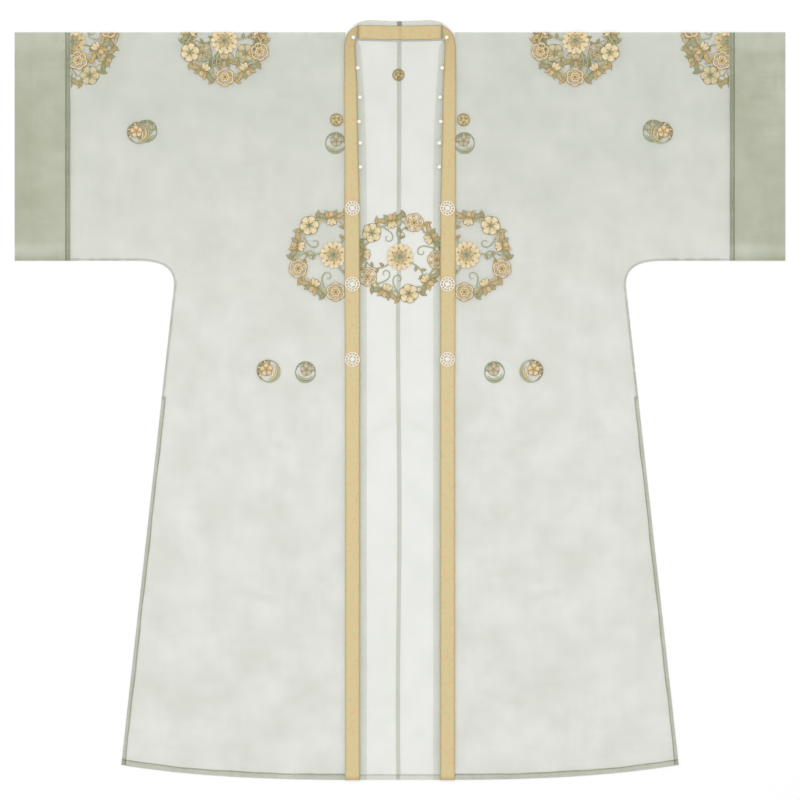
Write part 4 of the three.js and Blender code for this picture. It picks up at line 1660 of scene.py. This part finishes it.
@dataclass
class Needlework:
    """Embroidery being worked on a flat plan: padded satin stitch, outline cords and knots.

    Plans are (x, drop) in millimetres round the motif's own middle. Heights are over the cloth.
    """

    cloth: Fabric = field(default_factory=Fabric)
    rise: float = 0.0
    relief: float = 0.7
    veined: float = 7.5

    def pad(
        self,
        spine: np.ndarray,
        half: np.ndarray,
        thread: Thread,
        height: float = 0.7,
        lengthwise: bool = False,
    ) -> None:
        """Adds a padded shape along a spine.

        Args:
            spine: points along its middle.
            half: its half width at each point.
            thread: its floss.
            height: its height at its widest.
            lengthwise: whether the stitches run along the spine and not across it.
        """
        along = np.gradient(spine, axis=0)
        along /= np.maximum(np.linalg.norm(along, axis=1), 1e-6)[:, None]
        beside = leftward(along)
        across = np.array([-1, -0.66, 0, 0.66, 1])
        crown = np.array([0, 0.78, 1, 0.78, 0])
        offset = across[None, :, None] * half[:, None, None] * beside[:, None, :]
        plan = spine[:, None, :] + offset
        swell = np.sqrt(np.clip(half / half.max(), 0.05, 1))[:, None]
        z = self.rise + 0.1 + self.relief * height * crown[None, :] * swell
        steps = run_along(spine)
        over = across[None, :] * half[:, None]
        run = np.broadcast_to(steps[:, None], over.shape)
        uv = np.stack([over, run] if lengthwise else [run, over], axis=-1)
        points = np.concatenate([plan, z[..., None]], axis=-1)
        root = 0.4 * (1 - steps[:, None] / steps[-1]) ** 1.5 * np.ones(over.shape)
        shade = root if lengthwise else np.full(over.shape, 0.1)
        self.cloth.grid(
            points, uv=uv + 7.0, edge=shade, finish=thread.value, ring=True, caps=True
        )

    def outline(
        self, path: np.ndarray, thread: Thread, half: float = 0.55, height: float = 0.8
    ) -> None:
        """Adds a cord round a closed path."""
        ends = np.concatenate([path[-1:], path, path[:1]])
        along = ends[2:] - ends[:-2]
        along /= np.maximum(np.linalg.norm(along, axis=1), 1e-6)[:, None]
        beside = leftward(along)
        across = np.array([-1, -0.4, 0.4, 1])
        crown = np.array([0, 1, 1, 0])
        plan = path[:, None, :] + half * across[None, :, None] * beside[:, None, :]
        z = np.broadcast_to(self.rise + 0.1 + self.relief * height * crown, plan.shape[:2])
        points = np.concatenate([plan, z[..., None]], axis=-1)
        points = np.concatenate([points, points[:1]])
        run = np.arange(len(points))[:, None] * np.ones(4) * 1.7
        uv = np.stack([run, np.broadcast_to(across, run.shape)], axis=-1)
        self.cloth.grid(points, uv=uv + 7.0, finish=thread.value, ring=True)

    def knot(self, centre: np.ndarray, radius: float, thread: Thread) -> None:
        """Adds a seed knot."""
        ball(self.cloth, (*centre, self.rise + 0.5), radius, 8, thread.value)

    def petal(
        self,
        root: np.ndarray,
        angle: float,
        length: float,
        width: float,
        thread: Thread,
        rim: Thread = Thread.OLIVE,
        point: float = 0.0,
        bend: float = 0.0,
        height: float = 0.7,
        eye: bool = False,
    ) -> None:
        """Adds a petal or leaf with its outline.

        Args:
            root: where it starts.
            angle: which way it points.
            length: its length.
            width: its width.
            thread: its floss.
            rim: its outline's floss.
            point: from 0, round ended, to 1, pointed.
            bend: how much it curves to one side.
            height: its height.
            eye: whether it is worked round an open eye.
        """
        t = np.linspace(0.0, 1.0, 9)
        turn = angle + bend * t
        spine = walk(root, turn, length)
        swell = np.sin(np.pi * t ** (0.8 + 0.1 * point)) ** (0.55 + 0.45 * point)
        broad = np.sqrt(np.clip(1 - (2 * t**1.25 - 1) ** 2, 0, 1))
        half = width / 2 * np.maximum(point * swell + (1 - point) * broad, 0.06)
        along = np.gradient(spine, axis=0)
        along /= np.linalg.norm(along, axis=1)[:, None]
        beside = leftward(along)
        rimline = np.concatenate(
            [spine + half[:, None] * beside, (spine - half[:, None] * beside)[::-1][1:-1]]
        )
        if eye:
            inner = spine.mean(axis=0) + (rimline - spine.mean(axis=0)) * 0.74
            self.outline(inner, thread, half=width * 0.12, height=height)
        else:
            self.pad(spine, half * 0.96, thread, height, lengthwise=True)
            if length > self.veined:
                vein = Thread.GOLD if thread is Thread.CREAM else Thread.OLIVE
                for side in (-0.45, 0.0, 0.45):
                    line = (spine + side * half[:, None] * beside)[1:7]
                    self.rise += 0.2
                    self.pad(line, np.full(len(line), 0.3), vein, height)
                    self.rise -= 0.2
        self.outline(rimline, rim, half=min(0.5, width * 0.07), height=height * 0.9)

    def blossom(
        self,
        centre: np.ndarray,
        radius: float,
        petals: int,
        turn: float,
        thread: Thread,
        heart: Thread,
        rim: Thread = Thread.OLIVE,
        eyes: bool = False,
    ) -> None:
        """Adds an open flower.

        Args:
            centre: its middle.
            radius: its radius.
            petals: how many petals it has.
            turn: the angle of its first petal.
            thread: the petals' floss.
            heart: the heart's floss.
            rim: the outlines' floss.
            eyes: whether its petals are worked round open eyes.
        """
        width = 2.1 * radius * math.sin(math.pi / petals) * 0.86
        for i in range(petals):
            a = turn + 2 * math.pi * i / petals
            root = centre + polar(0.24 * radius, a)
            self.petal(root, a, 0.76 * radius, width, thread, rim, 0.0, eye=eyes)
        ring = np.linspace(0, 2 * math.pi, 13)[:-1]
        loop = centre + 0.2 * radius * directions(ring)
        self.outline(loop, heart, half=0.09 * radius, height=1.0)
        self.knot(centre, 0.12 * radius, rim)

    def tendril(
        self,
        start: np.ndarray,
        angle: float,
        length: float,
        curl: float,
        thread: Thread,
        half: float = 1.0,
        straight: float = 0.35,
    ) -> np.ndarray:
        """Adds a stem that winds up into a curl.

        Args:
            start: where it starts.
            angle: which way it starts.
            length: its length.
            curl: how far it turns in all, in radians, positive to the left.
            thread: its floss.
            half: its half width at the start.
            straight: the share of its length before the curl tightens.

        Returns:
            Its points.
        """
        t = np.linspace(0, 1, 26)
        turn = angle + curl * np.clip((t - straight * 0.4) / (1 - straight * 0.4), 0, 1) ** 1.9
        path = walk(start, turn, length)
        self.pad(path, half * (1 - 0.45 * t), thread, 0.75)
        return path


@dataclass
class Roundel:
    """One embroidered roundel: its motif, clipped and laid on its layer of cloth."""

    cut: Cut
    drape: Drape
    node: str
    centre: tuple[float, float]
    radius: float
    layer: Layer
    seed: int
    mirrored: bool = False
    low_drop: float = 0.5
    inner_x: float | None = None
    outer_x: float | None = None
    over_fold: bool = False
    wreath_size: float = 40.0
    sprig_size: float = 14.0
    # The vine ring's radius as a share of the wreath's.
    ring_share: float = 0.79

    def work(self) -> Needlework:
        """Works the motif that suits the roundel's size."""
        work = Needlework()
        if self.radius > self.wreath_size:
            self.wreath(work)
        elif self.radius > self.sprig_size:
            self.sprig(work)
        else:
            self.coin(work)
        return work

    def wreath(self, work: Needlework) -> None:
        """Works a wreath: a twisted vine ring with five flowers, leaves, curls and a peony."""
        draw = random.Random(self.seed)
        r = self.radius
        ring = self.ring_share * r
        ways = np.linspace(0, 2 * math.pi, 97)

        for phase, thread, half in ((0.0, Thread.SAGE, 1.7), (math.pi, Thread.GOLD, 1.1)):
            wave = ring + 0.055 * r * np.sin(10 * ways + phase)
            path = np.stack([wave * np.cos(ways), wave * np.sin(ways)], axis=1)
            work.rise = 0.0 if phase else 0.15
            work.pad(path, np.full(len(path), half), thread, 0.8)
        first = draw.uniform(0, 2 * math.pi)
        for k in range(5):
            at = first + 2 * math.pi * k / 5
            work.rise = 0.35
            side = 1 if k % 2 else -1
            self.leaf_pair(work, at + math.pi / 5, draw)
            work.rise = 0.5
            main = Thread.CREAM if k % 2 else Thread.PEACH
            heart = Thread.SAGE if k % 2 else Thread.GOLD
            centre = polar(ring * draw.uniform(0.99, 1.03), at)
            work.blossom(centre, 0.205 * r, 6, at, main, heart, Thread.OLIVE, k % 2 == 0)
            work.rise = 0.2
            curl_at = polar(ring * 0.93, at + 0.34 * side)
            inward = at + 0.34 * side + math.pi
            work.tendril(curl_at, inward - 0.5 * side, 0.62 * r, 5.6 * side, Thread.SAGE, 1.25)
            for away in (0.23, -0.25):
                spot = polar(ring * 1.06, at + away)
                out = at + away + math.copysign(0.7, away)
                thread = Thread.GOLD if away > 0 else Thread.SAGE
                bend = -0.5 * away
                work.petal(spot, out, 0.2 * r, 0.085 * r, thread, Thread.OLIVE, 1.0, bend)
        work.rise = 0.15
        for k in range(3):
            at = first + 0.4 + 2 * math.pi * k / 3
            path = work.tendril(polar(0.2 * r, at), at, 0.62 * r, 1.9, Thread.SAGE, 1.5, 0.1)
            for step, lean in ((8, 1.1), (13, -1.0), (18, 0.9)):
                way = path[step + 1] - path[step]
                angle = math.atan2(way[1], way[0]) + lean
                work.petal(path[step], angle, 0.13 * r, 0.06 * r, Thread.GOLD, point=1.0)
        work.rise = 0.45
        self.peony(work, first, 0.3 * r)

    def leaf_pair(self, work: Needlework, at: float, draw: random.Random) -> None:
        """Works the spray between two flowers: leaves outwards, a bud, and leaves inwards."""
        r = self.radius
        ring = self.ring_share * r
        for lean, length, thread in (
            (-0.95, 0.27, Thread.GOLD),
            (-0.42, 0.25, Thread.SAGE),
            (0.42, 0.25, Thread.GOLD),
            (0.95, 0.27, Thread.SAGE),
        ):
            root = polar(ring * 0.97, at + 0.1 * lean)
            size = length * draw.uniform(0.9, 1.08) * r
            limit = 0.98 * r - ring * math.cos(0.1)
            size = min(size, limit / max(math.cos(lean), 0.35))
            work.petal(root, at + lean, size, 0.1 * r, thread, Thread.OLIVE, 1.0, 0.35 * lean)
        bud = polar(ring * 1.0, at)
        work.rise += 0.2
        for lean in (-0.55, 0.0, 0.55):
            work.petal(bud, at + math.pi + lean, 0.17 * r, 0.1 * r, Thread.CREAM, point=0.3)
        work.petal(bud, at, 0.14 * r, 0.12 * r, Thread.PEACH, point=0.5)
        work.knot(bud, 1.3, Thread.OLIVE)

    def peony(self, work: Needlework, turn: float, radius: float) -> None:
        """Works a double peony: notched petals, seed knots and a netted green heart."""
        for i in range(7):
            a = turn + 2 * math.pi * i / 7
            way = polar(1.0, a)
            aside = np.array([-way[1], way[0]])
            for lean in (-1, 1):
                root = radius * (0.3 * way + 0.1 * lean * aside)
                angle, length, width = a + 0.12 * lean, 0.66 * radius, 0.4 * radius
                work.petal(root, angle, length, width, Thread.CREAM, Thread.PEACH)
            work.rise += 0.25
            work.knot(radius * 0.62 * way, 0.075 * radius, Thread.OLIVE)
            work.tendril(radius * 0.3 * way, a, 0.28 * radius, 0.4, Thread.GOLD, 0.028 * radius)
            work.rise -= 0.25
        work.rise += 0.3
        for i in range(6):
            a = turn + 0.3 + 2 * math.pi * i / 6
            root = polar(0.16 * radius, a)
            work.petal(root, a, 0.36 * radius, 0.3 * radius, Thread.PEACH, Thread.OLIVE, 0.4)
        ring = np.linspace(0, 2 * math.pi, 13)[:-1]
        for size in (0.27, 0.16):
            loop = size * radius * directions(ring)
            work.outline(loop, Thread.SAGE, half=0.055 * radius, height=1.0)
        for i in range(6):
            a = turn + 2 * math.pi * i / 6
            work.knot(polar(0.1 * radius, a), 0.05 * radius, Thread.OLIVE)

    def sprig(self, work: Needlework) -> None:
        """Works a small roundel: a split ring, a flower to one side, leaves and a curl."""
        draw = random.Random(self.seed)
        r = self.radius
        turn = draw.uniform(0, 2 * math.pi)
        for start, end, radius, thread in (
            (0.0, 3.5, 0.86, Thread.SAGE),
            (3.2, 6.5, 0.84, Thread.OLIVE),
            (0.5, 2.9, 0.66, Thread.GOLD),
        ):
            ways = turn + np.linspace(start, end, 26)
            path = radius * r * directions(ways)
            taper = np.sin(np.linspace(0.25, math.pi - 0.25, 26))
            work.pad(path, 0.1 * r * taper, thread, 0.7)
        work.rise = 0.25
        for k in range(6):
            a = turn + 3.5 + 0.42 * k
            root = polar(0.6 * r, a)
            thread = Thread.CREAM if k % 2 else Thread.SAGE
            work.petal(root, a + 0.5, 0.34 * r, 0.15 * r, thread, Thread.OLIVE, 0.8)
        tip = polar(0.55 * r, turn + 1.2)
        work.tendril(tip, turn + 3.6, 1.15 * r, 4.6, Thread.CREAM, 0.06 * r)
        work.rise = 0.45
        flower = polar(0.2 * r, turn + 4.6)
        work.blossom(flower, 0.5 * r, 5, turn, Thread.PEACH, Thread.GOLD, Thread.OLIVE)

    def coin(self, work: Needlework) -> None:
        """Works a tiny roundel: a filled disc, a corded ring and a whirl of narrow petals."""
        r = self.radius
        ways = np.linspace(0, 2 * math.pi, 25)[:-1]
        loop = directions(ways)
        across = np.linspace(-0.94 * r, 0.94 * r, 13)
        spine = np.stack([across, 0 * across], axis=1)
        half = np.sqrt(np.clip((0.94 * r) ** 2 - across**2, 0.04, None))
        work.pad(spine, half, Thread.GOLD, 0.3)
        work.rise = 0.2
        work.outline(0.9 * r * loop, Thread.OLIVE, half=0.07 * r, height=0.8)
        for k in range(9):
            a = 2 * math.pi * k / 9 + 0.2
            root = polar(0.18 * r, a)
            thread = (Thread.CREAM, Thread.SAGE, Thread.OLIVE)[k % 3]
            work.petal(root, a, 0.6 * r, 0.2 * r, thread, Thread.OLIVE, 0.8, 0.9)
        work.rise = 0.3
        work.knot(np.zeros(2), 0.16 * r, Thread.CREAM)

    def clip(self, work: bmesh.types.BMesh) -> None:
        """Cuts the motif at the fold, the cuff and the collar, in plan.

        Args:
            work: the motif, with x and drop as its first two coordinates in metres.
        """
        cuts = [((0, self.low_drop), (0, -1))]
        if self.inner_x is not None:
            cuts.append(((self.inner_x, 0), (-1, 0)))
        if self.outer_x is not None:
            cuts.append(((self.outer_x, 0), (1, 0)))
        for point, away in cuts:
            everything = work.verts[:] + work.edges[:] + work.faces[:]
            found = bmesh.ops.bisect_plane(
                work,
                geom=everything,
                dist=1e-6,
                plane_co=(point[0] * MM, point[1] * MM, 0),
                plane_no=(away[0], away[1], 0),
                clear_outer=True,
            )
            edges = [g for g in found["geom_cut"] if isinstance(g, bmesh.types.BMEdge)]
            if edges:
                bmesh.ops.holes_fill(work, edges=edges, sides=0)

    def build(self) -> bpy.types.Object:
        """Builds the roundel.

        Returns:
            The piece.
        """
        cloth = self.work().cloth
        points = np.asarray(cloth.verts)
        sign = -1 if self.mirrored else 1
        flip = -1 if self.over_fold else 1
        points[:, 0] += abs(self.centre[0]) if self.mirrored else self.centre[0]
        points[:, 1] = flip * (points[:, 1] + self.centre[1])
        cloth.verts = points.tolist()
        name = self.node.replace("roundel", "embroidery")
        mesh = cloth.mesh(name)
        work = bmesh.new()
        work.from_mesh(mesh)
        self.clip(work)
        plan = np.array([v.co[:] for v in work.verts]) / MM
        plan[:, 0] *= sign
        base = self.drape.height(self.layer, plan[:, 0], plan[:, 1])
        lift = 0.1 if self.layer is Layer.FRONT else -0.25
        z = np.maximum(base + lift + plan[:, 2], 0.05)
        placed = self.cut.points(plan[:, 0], plan[:, 1], z) * MM
        for vert, at in zip(work.verts, placed):
            vert.co = at
        bmesh.ops.recalc_face_normals(work, faces=work.faces)
        work.to_mesh(mesh)
        work.free()
        small = self.radius < self.wreath_size
        if self.layer is Layer.BACK and small and abs(self.centre[0]) > self.radius:
            threads, slot = FLOSS_REVERSE, "embroidery_sage"
        else:
            threads, slot = FLOSS, "embroidery_gold"
        return place(name, mesh, list(threads.values()), slot, [self.node])


@dataclass
class Embroidery:
    """All the roundels, placed where their CAD nodes stand."""

    cut: Cut
    drape: Drape
    shoulder: tuple[float, float, float] = (272.0, 13.3, 71.3)
    sleeve: tuple[float, float, float] = (507.6, -14.6, 73.0)
    chest: tuple[float, float, float] = (103.1, 345.0, 72.8)
    clearance: float = 0.4

    def whole(self, node: str) -> tuple[tuple[float, float], float]:
        """Gives the centre, as (x, drop), and radius of a roundel that nothing clips."""
        low, high = (np.array(corner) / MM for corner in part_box(node))
        middle = (low + high) / 2
        centre = (float(middle[0]), float(self.cut.shoulder_y - middle[1]))
        return centre, float(high[0] - low[0]) / 2

    def build(self) -> list[bpy.types.Object]:
        """Builds every roundel.

        Returns:
            The pieces.
        """
        made = []
        for side, sign in SIDES.items():
            mirrored = sign < 0
            inner = float(self.cut.edge(Edge.SEAM, 345)) + 1.2
            cuts = {
                "shoulder": (self.shoulder, None, None, 11),
                "sleeve": (self.sleeve, None, self.cut.sleeve_end - self.clearance, 12),
                "chest": (self.chest, inner, None, 13),
            }
            for name, ((x, drop, radius), inside, outside, seed) in cuts.items():
                common = dict(
                    cut=self.cut,
                    drape=self.drape,
                    centre=(x, drop),
                    radius=radius,
                    seed=seed,
                    mirrored=mirrored,
                    inner_x=inside,
                    outer_x=outside,
                )
                front = Roundel(node=f"roundel_{name}_{side}", layer=Layer.FRONT, **common)
                made.append(front.build())
                if name != "chest":
                    node = f"roundel_back_{name}_{side}"
                    back = Roundel(
                        node=node, layer=Layer.BACK, over_fold=True, low_drop=1.5, **common
                    )
                    made.append(back.build())
            for name in ("sleeve_small", "neck_small", "skirt_small"):
                for prefix, layer, seed in (("", Layer.FRONT, 21), ("back_", Layer.BACK, 22)):
                    node = f"roundel_{prefix}{name}_{side}"
                    centre, radius = self.whole(node)
                    inside = inner if name == "neck_small" else None
                    small = Roundel(
                        self.cut, self.drape, node, centre, radius, layer, seed, mirrored,
                        inner_x=inside,
                    )
                    made.append(small.build())
        for node in ("roundel_back_centre", "roundel_back_nape"):
            centre, radius = self.whole(node)
            made.append(
                Roundel(self.cut, self.drape, node, centre, radius, Layer.BACK, 31).build()
            )
        return made


# ---- Studio -------------------------------------------------------------------------------


@dataclass
class Studio:
    """A light table under soft light, seen from straight above through a long lens."""

    width: float = 1240.0
    middle: tuple[float, float] = (0.0, 0.2)
    lens: float = 140.0
    sensor: float = 36.0
    sky: float = 0.67
    key_power: float = 90.0
    key_size: float = 2.4
    key_place: tuple[float, float, float] = (-0.3, 0.4, 4.4)
    floor_size: float = 16.0

    def build(self) -> None:
        """Builds the table top, lights and camera, and sets how the picture is shown."""
        scene = bpy.context.scene
        board = Fabric()
        half = self.floor_size / 2 / MM
        board.grid(np.array([[[-half, -half, -0.3], [half, -half, -0.3]],
                             [[-half, half, -0.3], [half, half, -0.3]]]))
        floor = bpy.data.objects.new("table_top", board.mesh("table_top"))
        floor.data.materials.append(TABLE_TOP.material())
        if floor.data.polygons[0].normal.z < 0:
            floor.data.flip_normals()
        scene.collection.objects.link(floor)
        world = bpy.data.worlds.new("soft_room")
        world.use_nodes = True
        room = world.node_tree.nodes["Background"]
        room.inputs["Color"].default_value = linear("#ffffff")
        room.inputs["Strength"].default_value = self.sky
        scene.world = world
        lamp = bpy.data.lights.new("soft_key", "AREA")
        lamp.shape, lamp.size, lamp.energy = "SQUARE", self.key_size, self.key_power
        key = bpy.data.objects.new("soft_key", lamp)
        key.location = self.key_place
        key.rotation_euler = (-Vector(self.key_place)).to_track_quat("-Z", "Y").to_euler()
        key.visible_camera = False
        scene.collection.objects.link(key)
        data = bpy.data.cameras.new("camera")
        data.lens, data.sensor_width = self.lens, self.sensor
        camera = bpy.data.objects.new("camera", data)
        distance = self.width * MM * self.lens / self.sensor
        camera.location = (self.middle[0] * MM, self.middle[1] * MM, distance)
        scene.collection.objects.link(camera)
        scene.camera = camera
        scene.view_settings.view_transform = "Standard"
        scene.cycles.transparent_max_bounces = 32


# ---- The robe -----------------------------------------------------------------------------


def main() -> None:
    logging.basicConfig(level=logging.INFO, format="%(message)s")
    Studio().build()
    cut = Cut.from_frame()
    drape = Drape(cut)
    halves, trims, cuffs = {}, {}, {}
    for side in SIDES:
        halves[side] = BodyHalf(cut, drape, side).build()
        trims[side] = Seams(cut, drape, side).build()
        cuffs[side] = Cuff(cut, side).build()
        LOG.info("built the %s half, its hems and its cuff", side)
    trims["left"].append(CentreSeam(cut, drape).build())
    collar = Collar(cut).build()
    LOG.info("built the collar")
    for side in SIDES:
        Pearls(side).build()
        for number in range(1, CLASPS_A_SIDE + 1):
            Clasp(side, number).build()
        LOG.info("built the %s pearls and clasps", side)
    for piece in Embroidery(cut, drape).build():
        LOG.info("worked %s with %d faces", piece.name, len(piece.data.polygons))
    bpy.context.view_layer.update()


if __name__ == "__main__":
    main()
